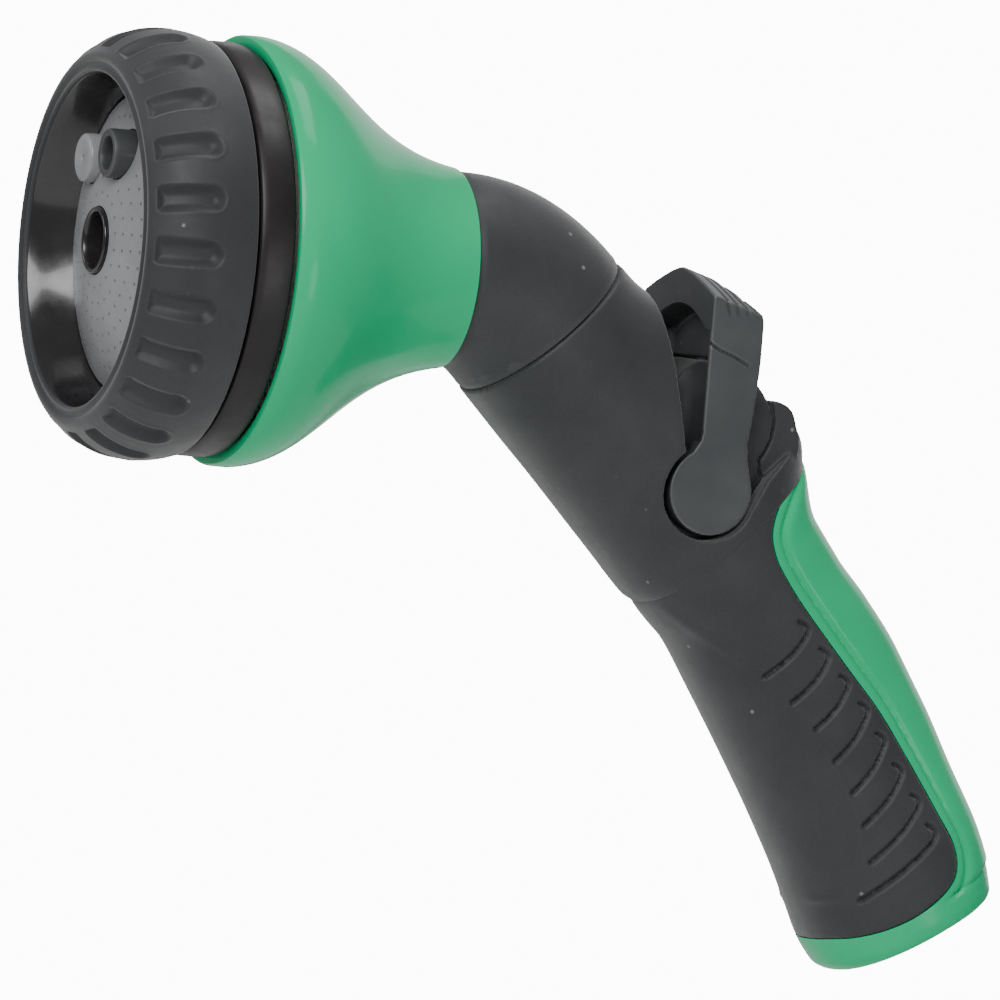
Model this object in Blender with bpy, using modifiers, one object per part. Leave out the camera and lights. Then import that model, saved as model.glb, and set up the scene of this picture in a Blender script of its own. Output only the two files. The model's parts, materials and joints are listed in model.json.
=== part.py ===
"""Garden hose spray nozzle with a turning pattern dial and a thumb-lever valve.

Frame: metres, +Z up. The origin is the centre of the hose inlet at the bottom of the handle, the
water leaves the dial along -Y, and the nozzle is symmetric about X = 0 apart from its outlets.
"""
import math

import bmesh
import bpy
from mathutils import Matrix, Vector
from mathutils.geometry import interpolate_bezier

MM = 0.001
GAP = 0.3 * MM                      # clearance between neighbouring pieces

# Head: a horizontal axis, with depths measured backward from the dial's front rim.
HEAD_Y = -167.0 * MM
HEAD_Z = 110.0 * MM
DIAL_RADIUS = 38.3 * MM
DIAL_DEPTH = 18.3 * MM
RIM_STAND = 0.8 * MM                # the grip ring's front rim, ahead of the cup
GROOVE_COUNT = 24
GROOVE_WIDTH = 4.7 * MM
GROOVE_DEPTH = 1.3 * MM
GROOVE_TURN = math.radians(6.6)     # where the grooves start, round from the outlets
FACE_RADIUS = 26.3 * MM
FACE_RISE = 6.0 * MM
FACE_TOP = 1.6 * MM                 # the dome's middle, behind the front rim
OUTLET_CIRCLE = 16.2 * MM
OUTLET_COUNT = 8
JET_ANGLE = 17.0                    # degrees from straight up, towards +X
COLLAR_START = 18.9 * MM
BELL_START = 25.8 * MM
BELL_END = 67.8 * MM
BELL_RADIUS = 38.2 * MM
NECK_RADIUS = 17.2 * MM
BELL_END_RADIUS = 17.7 * MM
PLATE_FRONT = 18.6 * MM             # fixed port plate behind the dial
WALL = 2.5 * MM

# Valve body: an axis 45 degrees below backward, from the seam with the neck.
BODY_TILT = math.radians(45.0)
SEAM_BACK = 86.6 * MM
SEAM_DROP = 8.8 * MM
BODY_LENGTH = 50.0 * MM
BODY_HALF_WIDTH = 17.8 * MM
PIVOT_ALONG = 39.4 * MM
PIVOT_LIFT = 1.3 * MM
HUMP_RADIUS = 10.5 * MM
HUMP_RISE = 12.7 * MM               # the hump's middle above the pivot, and a little behind it
HUMP_SETBACK = 2.1 * MM
HUMP_HALF_WIDTH = 12.2 * MM
HUB_RADIUS = 7.8 * MM
HUB_RECESS = 9.0 * MM
REAR_WALL = 45.2 * MM               # guard behind the lever, along the body axis
BALL_RADIUS = 7.5 * MM
BALL_BORE = 2.1 * MM                # closes within the lever's travel
STEM_RADIUS = 3.1 * MM
OUTLET_TUBE_RADIUS = 6.0 * MM
INLET_TUBE_RADIUS = 7.5 * MM

# Lever: arms stand straight up from the pivot when the water is on.
ARM_INNER = 12.8 * MM
ARM_OUTER = 16.7 * MM
ARM_FRONT = 2.4 * MM                # ahead of the pivot
ARM_BACK = 6.2 * MM                 # behind the pivot
LEVER_HEIGHT = 35.2 * MM            # pivot to the side top edge of the crosspiece
LEVER_CROWN = 3.8 * MM
PAD_SLOPE = math.radians(17.0)
PAD_THICKNESS = 5.4 * MM
PAD_BACK = 7.6 * MM

# Handle: an axis 57.3 degrees below backward, through the inlet.
HANDLE_TILT = math.radians(57.3)
GRIP_THICKNESS = 2.5 * MM
CORE_WALL = 2.4 * MM
SOCKET_DEPTH = 18.0 * MM
INLET_LIP = 0.8 * MM                # the green base runs on past the thread insert
INSERT_RADIUS = 15.0 * MM
THREAD_CREST = 12.4 * MM            # 3/4 in garden hose thread, internal

HEAD_FRONT = Vector((0.0, HEAD_Y, HEAD_Z))
BODY_AXIS = Vector((0.0, math.cos(BODY_TILT), -math.sin(BODY_TILT)))
BODY_UP = Vector((0.0, math.sin(BODY_TILT), math.cos(BODY_TILT)))
HANDLE_AXIS = Vector((0.0, math.cos(HANDLE_TILT), -math.sin(HANDLE_TILT)))
HANDLE_BACK = Vector((0.0, math.sin(HANDLE_TILT), math.cos(HANDLE_TILT)))
SEAM = HEAD_FRONT + Vector((0.0, SEAM_BACK, -SEAM_DROP))

COLOURS = {
    "soft_black": ((0.030, 0.030, 0.032), 0.62, 0.0),
    "gloss_black": ((0.012, 0.013, 0.015), 0.16, 0.0),
    "green": ((0.0, 0.40, 0.16), 0.22, 0.0),
    "face_grey": ((0.17, 0.17, 0.18), 0.42, 0.0),
    "lever_grey": ((0.065, 0.070, 0.074), 0.38, 0.0),
    "inner_plastic": ((0.55, 0.55, 0.53), 0.45, 0.0),
    "seal_rubber": ((0.02, 0.02, 0.02), 0.75, 0.0),
    "steel": ((0.62, 0.62, 0.62), 0.25, 1.0),
    "brass": ((0.72, 0.50, 0.20), 0.30, 1.0),
}


def head_point(depth, up=0.0, x=0.0):
    """A point by its depth behind the front rim and its height above the head axis."""
    return HEAD_FRONT + Vector((x, depth, up))


def body_point(along, lift=0.0, x=0.0):
    """A point by its distance along the valve body's axis and its lift off that axis."""
    return SEAM + BODY_AXIS * along + BODY_UP * lift + Vector((x, 0.0, 0.0))


def handle_point(depth, lift=0.0, x=0.0):
    """A point by its depth inside the inlet end and its lift off the handle's axis."""
    return HANDLE_BACK * lift - HANDLE_AXIS * depth + Vector((x, 0.0, 0.0))


PIVOT = body_point(PIVOT_ALONG, PIVOT_LIFT)
HUMP_CENTRE = PIVOT + Vector((0.0, HUMP_SETBACK, HUMP_RISE))


def frame_along(origin, direction):
    """A frame at origin whose +Z points along direction and whose +X stays +X where it can."""
    z_axis = direction.normalized()
    y_axis = z_axis.cross(Vector((1.0, 0.0, 0.0)))
    if y_axis.length < 0.5:
        y_axis = Vector((0.0, 0.0, 1.0))
    y_axis.normalize()
    x_axis = y_axis.cross(z_axis)
    rotation = Matrix((x_axis, y_axis, z_axis)).transposed()
    return Matrix.Translation(origin) @ rotation.to_4x4()


HEAD_FRAME = frame_along(HEAD_FRONT, Vector((0.0, -1.0, 0.0)))
INLET_FRAME = frame_along(Vector((0.0, 0.0, 0.0)), HANDLE_AXIS)
VALVE_FRAME = frame_along(body_point(0.0, PIVOT_LIFT), -BODY_AXIS)


def clear_scene():
    """Remove every object and unused material, and return the two collections."""
    for item in list(bpy.data.objects):
        bpy.data.objects.remove(item, do_unlink=True)
    parts = bpy.data.collections.new("hose_spray_nozzle")
    cutters = bpy.data.collections.new("cutters")
    bpy.context.scene.collection.children.link(parts)
    bpy.context.scene.collection.children.link(cutters)
    return parts, cutters


PARTS, CUTTERS = clear_scene()


def make_materials():
    """One Principled material for each finish."""
    made = {}
    for name, (colour, roughness, metallic) in COLOURS.items():
        made[name] = bpy.data.materials.new(name)
        made[name].use_nodes = True
        shader = made[name].node_tree.nodes["Principled BSDF"]
        shader.inputs["Base Color"].default_value = (*colour, 1.0)
        shader.inputs["Roughness"].default_value = roughness
        shader.inputs["Metallic"].default_value = metallic
    return made


MATERIALS = make_materials()


def add_object(name, data, frame, finish=None):
    """Link data as an object, as a part with a finish or as a hidden cutter."""
    item = bpy.data.objects.new(name, data)
    item.matrix_world = frame
    if finish is None:
        CUTTERS.objects.link(item)
        item.hide_render = True
        item.display_type = 'WIRE'
    else:
        PARTS.objects.link(item)
        data.materials.append(MATERIALS[finish])
    return item


def shade_round(item, angle=35.0):
    """Shade a part smooth with sharp edges past the angle, in degrees."""
    item.data.shade_smooth()
    item.data.set_sharp_from_angle(angle=math.radians(angle))


def to_mesh(item, finish=None):
    """Turn a curve into a welded mesh object of the same name and place."""
    bpy.context.view_layer.update()
    graph = bpy.context.evaluated_depsgraph_get()
    mesh = bpy.data.meshes.new_from_object(item.evaluated_get(graph))
    work = bmesh.new()
    work.from_mesh(mesh)
    bmesh.ops.remove_doubles(work, verts=work.verts, dist=0.00001)
    bmesh.ops.recalc_face_normals(work, faces=work.faces)
    work.to_mesh(mesh)
    work.free()
    mesh.materials.clear()
    name, frame = item.name, item.matrix_world.copy()
    bpy.data.objects.remove(item, do_unlink=True)
    return add_object(name, mesh, frame, finish)


def turned(name, profile, frame, finish=None, segments=48):
    """Turn a profile of (radius, depth) round the frame's Z; depth runs towards -Z."""
    mesh = bpy.data.meshes.new(name)
    points = [(radius, 0.0, -depth) for radius, depth in profile]
    edges = [(i, i + 1) for i in range(len(points) - 1)]
    if profile[0][0] > 0.0:
        edges.append((len(points) - 1, 0))
    mesh.from_pydata(points, edges, [])
    item = add_object(name, mesh, frame, finish)
    screw = item.modifiers.new("Screw", 'SCREW')
    screw.steps = segments
    screw.render_steps = segments
    screw.use_merge_vertices = True
    screw.merge_threshold = 0.00001
    screw.use_smooth_shade = finish is not None
    return item


def rod(name, start, end, radius, finish=None, segments=24):
    """A capped cylinder between two points."""
    mesh = bpy.data.meshes.new(name)
    work = bmesh.new()
    length = (end - start).length
    bmesh.ops.create_cone(work, cap_ends=True, segments=segments, radius1=radius, radius2=radius,
                          depth=length)
    work.to_mesh(mesh)
    work.free()
    return add_object(name, mesh, frame_along((start + end) / 2, end - start), finish)


def block(name, centre, size, tilt=0.0, finish=None):
    """A box of a size, tilted about X."""
    mesh = bpy.data.meshes.new(name)
    work = bmesh.new()
    bmesh.ops.create_cube(work, size=1.0, matrix=Matrix.Diagonal((*size, 1.0)))
    work.to_mesh(mesh)
    work.free()
    return add_object(name, mesh, Matrix.Translation(centre) @ Matrix.Rotation(tilt, 4, 'X'), finish)


def ball(name, centre, radius, finish=None, segments=28):
    """A sphere."""
    mesh = bpy.data.meshes.new(name)
    work = bmesh.new()
    bmesh.ops.create_uvsphere(work, u_segments=segments, v_segments=segments // 2, radius=radius)
    work.to_mesh(mesh)
    work.free()
    return add_object(name, mesh, frame_along(centre, Vector((1.0, 0.0, 0.0))), finish)


def prism(name, outline, half_width, finish=None):
    """Extrude an outline of side-view points (world Y and Z) across X."""
    curve = bpy.data.curves.new(name, 'CURVE')
    curve.dimensions = '2D'
    curve.fill_mode = 'BOTH'
    curve.extrude = half_width
    spline = curve.splines.new('POLY')
    spline.points.add(len(outline) - 1)
    for point, place in zip(spline.points, outline):
        point.co = (place.y, place.z, 0.0, 1.0)
    spline.use_cyclic_u = True
    side_plane = Matrix(((0, 0, 1, 0), (1, 0, 0, 0), (0, 1, 0, 0), (0, 0, 0, 1)))
    return to_mesh(add_object(name, curve, side_plane), finish)


def bar(name, path, radius, finish=None, sides=16, radii=None):
    """A solid round bar along a path, with filled caps."""
    curve = bpy.data.curves.new(name, 'CURVE')
    curve.dimensions = '3D'
    curve.bevel_depth = radius
    curve.bevel_resolution = (sides - 4) // 2
    curve.use_fill_caps = True
    spline = curve.splines.new('POLY')
    spline.points.add(len(path) - 1)
    for index, (point, place) in enumerate(zip(spline.points, path)):
        point.co = (*place, 1.0)
        point.radius = radii[index] if radii else 1.0
    return to_mesh(add_object(name, curve, Matrix.Identity(4)), finish)


def loft(name, rings, finish=None):
    """Skin a list of equal rings of points and close both ends."""
    mesh = bpy.data.meshes.new(name)
    count = len(rings[0])
    points = [point for ring in rings for point in ring]
    faces = []
    for level in range(len(rings) - 1):
        for i in range(count):
            j = (i + 1) % count
            low, high = level * count, (level + 1) * count
            faces.append((low + i, low + j, high + j, high + i))
    faces.append(tuple(reversed(range(count))))
    faces.append(tuple(range(len(points) - count, len(points))))
    mesh.from_pydata(points, [], faces)
    work = bmesh.new()
    work.from_mesh(mesh)
    bmesh.ops.recalc_face_normals(work, faces=work.faces)
    work.to_mesh(mesh)
    work.free()
    return add_object(name, mesh, Matrix.Identity(4), finish)


def combine(item, tool, operation='DIFFERENCE'):
    """Cut, join or intersect a part with a cutter, by an exact Boolean."""
    change = item.modifiers.new(tool.name, 'BOOLEAN')
    change.operation = operation
    change.solver = 'EXACT'
    change.object = tool
    return item


def arc(centre, radius, start, end, steps):
    """Side-view points along an arc; angles in degrees from +Y towards +Z."""
    points = []
    for i in range(steps + 1):
        angle = math.radians(start + (end - start) * i / steps)
        points.append(centre + Vector((0.0, math.cos(angle), math.sin(angle))) * radius)
    return points


def fillet_path(start, corner, end, radius, steps=5):
    """A straight run, a round bend at the corner, and a straight run."""
    into = (corner - start).normalized()
    out = (end - corner).normalized()
    turn = into.angle(out)
    reach = radius * math.tan(turn / 2)
    first = corner - into * reach
    last = corner + out * reach
    handle = 4.0 / 3.0 * math.tan(turn / 4) * radius
    bend = interpolate_bezier(first, first + into * handle, last - out * handle, last, steps)
    return [start, *bend, end]


def smooth_outline(points, steps=4):
    """Side-view points along a Catmull-Rom curve through the given points."""
    result = []
    ends = [points[0], *points, points[-1]]
    for i in range(1, len(ends) - 2):
        before, here, there, after = ends[i - 1:i + 3]
        for step in range(steps):
            t = step / steps
            result.append(0.5 * ((2 * here) + (there - before) * t
                                 + (2 * before - 5 * here + 4 * there - after) * t ** 2
                                 + (3 * here - before - 3 * there + after) * t ** 3))
    result.append(points[-1])
    return result


def section(centre, tilt, front, back, half_width, inset=0.0, count=32, power=2.25):
    """One rounded cross-section, its plane square to an axis tilted below backward."""
    up = Vector((0.0, math.sin(tilt), math.cos(tilt)))
    ring = []
    for i in range(count):
        angle = 2 * math.pi * i / count
        across, lift = math.cos(angle), math.sin(angle)
        reach = back - inset if lift > 0 else front - inset
        x = math.copysign(abs(across) ** (2 / power), across) * (half_width - inset)
        rise = math.copysign(abs(lift) ** (2 / power), lift) * reach
        ring.append(centre + up * rise + Vector((x, 0.0, 0.0)))
    return ring


def coil(name, frame, radius, wire, start, length, turns, finish):
    """A compression spring in a frame, running towards its -Z."""
    per_turn = 9
    total = int(turns * per_turn)
    path = []
    for i in range(total + 1):
        angle = 2 * math.pi * i / per_turn
        place = Vector((radius * math.cos(angle), radius * math.sin(angle),
                        -start - length * i / total))
        path.append(frame @ place)
    return bar(name, path, wire, finish, sides=6)


def o_ring(name, frame, major, minor, depth, segments=18):
    """A rubber ring turned round the frame's Z."""
    profile = []
    for i in range(6):
        angle = -2 * math.pi * (i + 0.5) / 6
        profile.append((major + minor * math.cos(angle), depth - minor * math.sin(angle)))
    return turned(name, profile, frame, "seal_rubber", segments)


# ---------------------------------------------------------------------------------------- dial

def bezier_profile(points, steps):
    """Profile pairs along one cubic curve given by its four (radius, depth) points."""
    ends = [Vector((radius, depth, 0.0)) for radius, depth in points]
    return [(p.x, p.y) for p in interpolate_bezier(*ends, steps)]


def dial_barrel(inset=0.0):
    """The grip ring's outer curve, front to back."""
    rim = 33.4 * MM
    return bezier_profile([(rim - inset, 0.4 * MM - RIM_STAND), (38.1 * MM - inset, 3.9 * MM),
                           (39.9 * MM - inset, 11.4 * MM), (36.9 * MM - inset, DIAL_DEPTH)], 5)


def build_dial_grip_ring():
    """Rubber ring with finger grooves that follow its barrel shape."""
    bore = 31.0 * MM
    lip = 2.0 * MM
    profile = [(28.8 * MM, 0.3 * MM - RIM_STAND), (29.2 * MM, -RIM_STAND), (32.7 * MM, -RIM_STAND)]
    profile += dial_barrel()
    profile += [(bore, DIAL_DEPTH), (bore, lip), (28.8 * MM, lip)]
    ring = turned("dial_grip_ring", profile, HEAD_FRAME, "soft_black", 48)
    floor = turned("groove_floor", [(0.0, -1 * MM)] + dial_barrel(GROOVE_DEPTH)
                   + [(0.0, DIAL_DEPTH + 1 * MM)], HEAD_FRAME, segments=48)
    groove = groove_cutters()
    combine(groove, floor)
    return combine(ring, groove)


def groove_cutters():
    """All the groove plugs in one cutter: square at the front, round at the back."""
    front, back = 0.9 * MM, 11.6 * MM
    half = GROOVE_WIDTH / 2
    outline = [(-half, front), (half, front)]
    for i in range(4):
        angle = math.pi * i / 3
        outline.append((half * math.cos(angle), back - half + half * math.sin(angle)))
    inner, outer = DIAL_RADIUS - 8 * MM, DIAL_RADIUS + 2 * MM
    work = bmesh.new()
    for index in range(GROOVE_COUNT):
        spin = Matrix.Rotation(2 * math.pi * (index + 0.5) / GROOVE_COUNT + GROOVE_TURN, 4, 'Z')
        base = [work.verts.new(spin @ Vector((inner, x, -depth))) for x, depth in outline]
        face = work.faces.new(base)
        grown = bmesh.ops.extrude_face_region(work, geom=[face])["geom"]
        lifted = [part for part in grown if isinstance(part, bmesh.types.BMVert)]
        bmesh.ops.translate(work, verts=lifted, vec=spin @ Vector((outer - inner, 0.0, 0.0)))
    bmesh.ops.recalc_face_normals(work, faces=work.faces)
    mesh = bpy.data.meshes.new("groove_plugs")
    work.to_mesh(mesh)
    work.free()
    return add_object("groove_plugs", mesh, HEAD_FRAME)


def build_dial_cup():
    """Glossy wall round the face, with a skirt behind it for the back plate."""
    profile = [(28.6 * MM, 2.4 * MM), (30.6 * MM, 2.4 * MM), (30.6 * MM, 17.8 * MM),
               (28.3 * MM, 17.8 * MM), (28.3 * MM, 13.6 * MM), (25.0 * MM, 13.6 * MM),
               (25.0 * MM, 11.0 * MM), (26.7 * MM, 11.0 * MM), (26.7 * MM, 7.7 * MM)]
    return turned("dial_cup", profile, HEAD_FRAME, "gloss_black", 36)


def dome_depth(radius):
    """Depth of the spray face's front surface at a radius."""
    sphere = (FACE_RADIUS ** 2 + FACE_RISE ** 2) / (2 * FACE_RISE)
    return FACE_TOP + sphere - math.sqrt(sphere ** 2 - radius ** 2)


def outlet_centre(index, depth=0.0):
    """Where an outlet's axis lies, counted from the jet tube round the dial."""
    angle = math.radians(JET_ANGLE - 360.0 * index / OUTLET_COUNT)
    return head_point(depth, OUTLET_CIRCLE * math.cos(angle), OUTLET_CIRCLE * math.sin(angle))


def build_spray_face():
    """Domed face plate, open for the throat and for the two standing outlets."""
    hole = 6.1 * MM
    skin = 2.0 * MM
    radii = [hole + (FACE_RADIUS - hole) * i / 4 for i in range(5)]
    profile = [(radius, dome_depth(radius)) for radius in radii]
    profile.append((FACE_RADIUS, 10.6 * MM))
    profile += [(min(radius, 24.6 * MM), dome_depth(radius) + skin) for radius in reversed(radii)]
    face = turned("spray_face", profile, HEAD_FRAME, "face_grey", 36)
    for index in range(2):
        hole_cutter = rod("outlet_hole_%d" % index, outlet_centre(index, -5 * MM),
                          outlet_centre(index, 20 * MM), 4.65 * MM, segments=24)
        combine(face, hole_cutter)
    return face


def build_centre_throat():
    """Funnel insert that hides the screw head."""
    profile = [(4.9 * MM, 1.7 * MM), (5.8 * MM, 1.5 * MM), (5.8 * MM, 11.0 * MM),
               (2.9 * MM, 11.0 * MM), (2.9 * MM, 9.4 * MM), (4.7 * MM, 9.4 * MM)]
    return turned("centre_throat", profile, HEAD_FRAME, "gloss_black", 24)


def build_outlets():
    """The hollow jet tube and its capped neighbour."""
    jet_frame = frame_along(outlet_centre(0), Vector((0.0, -1.0, 0.0)))
    jet = [(3.1 * MM, 0.9 * MM), (3.4 * MM, 0.6 * MM), (4.1 * MM, 0.6 * MM), (4.35 * MM, 0.9 * MM),
           (4.35 * MM, 14.2 * MM), (2.0 * MM, 14.2 * MM), (2.0 * MM, 12.0 * MM),
           (3.1 * MM, 10.5 * MM)]
    tube = turned("jet_tube", jet, jet_frame, "lever_grey", 20)
    cone_frame = frame_along(outlet_centre(1), Vector((0.0, -1.0, 0.0)))
    cone = [(0.6 * MM, 0.6 * MM), (3.9 * MM, 0.6 * MM), (4.3 * MM, 1.0 * MM),
            (4.3 * MM, 14.2 * MM), (2.0 * MM, 14.2 * MM), (2.0 * MM, 3.0 * MM), (0.6 * MM, 2.0 * MM)]
    outlet = turned("cone_outlet", cone, cone_frame, "face_grey", 20)
    return [tube, outlet]


def build_dial_back_plate():
    """Disc with one feed port for each outlet."""
    profile = [(2.9 * MM, 14.5 * MM), (28.0 * MM, 14.5 * MM), (28.0 * MM, 17.3 * MM),
               (2.9 * MM, 17.3 * MM)]
    plate = turned("dial_back_plate", profile, HEAD_FRAME, "inner_plastic", 36)
    for index in range(OUTLET_COUNT):
        port = rod("feed_port_%d" % index, outlet_centre(index, 12 * MM),
                   outlet_centre(index, 20 * MM), 2.2 * MM, segments=12)
        combine(plate, port)
    return plate


def build_dial_screw():
    """Screw that holds the dial to the port plate, and its washer."""
    shank = 2.4 * MM
    head = [(0.0, 5.4 * MM), (3.2 * MM, 5.7 * MM), (4.3 * MM, 6.9 * MM), (4.3 * MM, 8.0 * MM),
            (shank, 8.0 * MM), (shank, 25.0 * MM), (1.4 * MM, 26.5 * MM), (0.0, 26.5 * MM)]
    screw = turned("dial_screw", head, HEAD_FRAME, "steel", 20)
    slot_size = (6.0 * MM, 3.0 * MM, 1.0 * MM)
    combine(screw, block("screw_slot", head_point(5.4 * MM), slot_size))
    ring = [(2.7 * MM, 8.3 * MM), (4.4 * MM, 8.3 * MM), (4.4 * MM, 9.1 * MM), (2.7 * MM, 9.1 * MM)]
    washer = turned("dial_washer", ring, HEAD_FRAME, "steel", 24)
    return [screw, washer]


# ---------------------------------------------------------------------------------------- head

def build_head_collar():
    """Smooth band between the dial and the bell."""
    profile = [(31.6 * MM, COLLAR_START), (36.3 * MM, COLLAR_START),
               (36.8 * MM, COLLAR_START + 0.6 * MM), (36.8 * MM, BELL_START - GAP),
               (31.6 * MM, BELL_START - GAP)]
    return turned("head_collar", profile, HEAD_FRAME, "gloss_black", 36)


def build_head_shell():
    """Green bell, hollow, flaring from the neck to the collar."""
    bell = [(BELL_RADIUS - 0.5 * MM, BELL_START), (BELL_RADIUS, BELL_START + 0.6 * MM)]
    bell += bezier_profile([(BELL_RADIUS, 29.0 * MM), (37.0 * MM, 41.6 * MM), (21.0 * MM, 47.3 * MM),
                            (BELL_END_RADIUS, BELL_END)], 7)
    inside = [(radius - WALL, depth) for radius, depth in reversed(bell[2:])]
    inside.append((BELL_RADIUS - WALL, BELL_START))
    return turned("head_shell", bell + inside, HEAD_FRAME, "green", 40)


def build_port_plate():
    """Fixed disc behind the dial, with bosses for the seal and the detent."""
    back = PLATE_FRONT + 4.4 * MM
    profile = [(0.0, PLATE_FRONT), (31.2 * MM, PLATE_FRONT), (31.2 * MM, back), (6.0 * MM, back),
               (6.0 * MM, 29.0 * MM), (0.0, 29.0 * MM)]
    plate = turned("port_plate", profile, HEAD_FRAME, "inner_plastic", 36)
    detent = detent_point(0.0)
    bosses = ((outlet_centre(0), 7.2 * MM, 29.0 * MM), (detent, 4.0 * MM, 28.0 * MM))
    for index, (centre, radius, end) in enumerate(bosses):
        start = centre + Vector((0.0, PLATE_FRONT + 1 * MM, 0.0))
        boss = rod("boss_%d" % index, start, centre + Vector((0.0, end, 0.0)), radius)
        combine(plate, boss, 'UNION')
    cuts = ((outlet_centre(0), 5.6 * MM, 17.0 * MM, 27.5 * MM),
            (outlet_centre(0), 4.0 * MM, 27.0 * MM, 31.0 * MM),
            (detent, 2.4 * MM, 17.0 * MM, 26.5 * MM),
            (head_point(0.0), 2.7 * MM, 17.0 * MM, 27.0 * MM))
    for index, (centre, radius, start, end) in enumerate(cuts):
        first = centre + Vector((0.0, start, 0.0))
        drill = rod("plate_drill_%d" % index, first, centre + Vector((0.0, end, 0.0)), radius,
                    segments=16)
        combine(plate, drill)
    return plate


def detent_point(depth):
    """On the detent's axis, low on the port plate."""
    return head_point(depth, -24.0 * MM)


def build_head_works():
    """Port seal, detent and their springs."""
    seal_frame = frame_along(outlet_centre(0), Vector((0.0, -1.0, 0.0)))
    seal = [(3.0 * MM, 17.6 * MM), (4.6 * MM, 17.6 * MM), (5.3 * MM, 18.4 * MM),
            (5.3 * MM, 21.0 * MM), (3.0 * MM, 21.0 * MM)]
    made = [turned("port_seal", seal, seal_frame, "seal_rubber", 18)]
    made.append(coil("seal_spring", seal_frame, 4.5 * MM, 0.5 * MM, 21.9 * MM, 4.6 * MM, 3.0, "steel"))
    made.append(ball("detent_ball", detent_point(19.7 * MM), 2.0 * MM, "steel", 16))
    detent_frame = frame_along(detent_point(0.0), Vector((0.0, -1.0, 0.0)))
    made.append(coil("detent_spring", detent_frame, 1.5 * MM, 0.35 * MM, 22.4 * MM, 3.4 * MM, 3.0,
                     "steel"))
    made.append(o_ring("dial_o_ring", HEAD_FRAME, 29.9 * MM, 0.3 * MM, 18.2 * MM, 32))
    return made


def build_pressure_cup():
    """Water chamber behind the port plate, narrowing to the outlet tube's socket."""
    start = PLATE_FRONT + 4.7 * MM
    outer = [(31.0 * MM, start), (31.0 * MM, 31.0 * MM), (10.2 * MM, 51.0 * MM),
             (10.2 * MM, 66.0 * MM)]
    inner = [(8.3 * MM, 66.0 * MM), (8.3 * MM, 56.0 * MM), (4.4 * MM, 56.0 * MM),
             (4.4 * MM, 53.0 * MM), (29.0 * MM, 29.0 * MM), (29.0 * MM, start)]
    return turned("pressure_cup", outer + inner, HEAD_FRAME, "inner_plastic", 36)


# ---------------------------------------------------------------------------------- neck and body

def build_neck_elbow():
    """Bent sleeve that turns the head's axis down into the body's."""
    start = head_point(BELL_END + GAP)
    corner = head_point(SEAM_BACK - SEAM_DROP)
    end = body_point(-GAP / 2)
    first, last = start + Vector((0.0, MM, 0.0)), end - BODY_AXIS * MM
    bend = interpolate_bezier(first, first.lerp(corner, 2 / 3), last.lerp(corner, 2 / 3), last, 6)
    path = [start, *bend, end]
    widening = 0.04
    radii = [1.0 + widening * i / (len(path) - 1) for i in range(len(path))]
    elbow = bar("neck_elbow", path, NECK_RADIUS, "soft_black", 28, radii)
    inner = [path[0] - Vector((0.0, 1 * MM, 0.0)), *path, path[-1] + BODY_AXIS * MM]
    shade_round(elbow)
    return combine(elbow, bar("neck_hollow", inner, NECK_RADIUS - 3.0 * MM, sides=16))


def build_outlet_tube():
    """Inner tube from the valve to the pressure cup, with an O-ring at each end."""
    start = body_point(26.8 * MM, PIVOT_LIFT)
    slope = (PIVOT_LIFT * math.cos(BODY_TILT) - SEAM_DROP) / math.sin(BODY_TILT)
    corner = body_point(slope, PIVOT_LIFT)
    path = fillet_path(start, corner, head_point(56.5 * MM), 20.0 * MM)
    tube = bar("outlet_tube", path, OUTLET_TUBE_RADIUS, "inner_plastic", 16)
    longer = [start + BODY_AXIS * MM, *path[1:-1], path[-1] - Vector((0.0, MM, 0.0))]
    shade_round(tube)
    combine(tube, bar("outlet_bore", longer, 4.2 * MM, sides=12))
    front = o_ring("outlet_o_ring_front", HEAD_FRAME, 7.15 * MM, 0.85 * MM, 62.0 * MM)
    rear = o_ring("outlet_o_ring_rear", VALVE_FRAME, 7.15 * MM, 0.85 * MM, 24.0 * MM)
    return [tube, front, rear]


def body_stations():
    """Along the body axis in mm: distance, reach below, reach above, half width."""
    return ((0.15, 17.8, 17.7, 17.7), (4.0, 17.8, 17.9, 17.7), (8.0, 17.8, 18.7, 17.7),
            (12.0, 17.8, 19.8, 17.7), (20.0, 17.7, 21.8, 17.7), (32.0, 17.8, 23.8, 17.8),
            (41.0, 17.9, 24.5, 17.8), (45.0, 18.0, 24.8, 17.8), (47.0, 18.0, 24.2, 17.8),
            (48.6, 17.9, 23.0, 17.8), (BODY_LENGTH / MM - 0.15, 17.5, 21.9, 17.8))


def front_wall_point(drop):
    """On the lever pocket's leaning front wall, a distance below the head's axis."""
    return head_point(104.6 * MM + drop * 0.175, -drop)


def pocket_outline():
    """Side view of the space that a lever arm and its hub move in."""
    shoulder = front_wall_point(28.5 * MM)
    first = math.degrees(math.atan2(shoulder.z - PIVOT.z, shoulder.y - PIVOT.y))
    recess = arc(PIVOT, HUB_RECESS, first, 360.0 - 4.0, 16)
    return [front_wall_point(-20.0 * MM), shoulder, *recess, body_point(REAR_WALL, 8.0 * MM),
            body_point(REAR_WALL, 60.0 * MM)]


def guard_outline():
    """Side view of the lobe behind the lever, in the middle of the body."""
    lobe = ((35.4, 20.6), (36.2, 22.0), (37.4, 22.9), (39.0, 23.5), (40.7, 23.4), (43.0, 22.3),
            (45.4, 20.9), (46.6, 19.4), (47.4, 16.0), (47.4, 6.0), (35.4, 6.0))
    return [body_point(along * MM, lift * MM) for along, lift in lobe]


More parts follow.
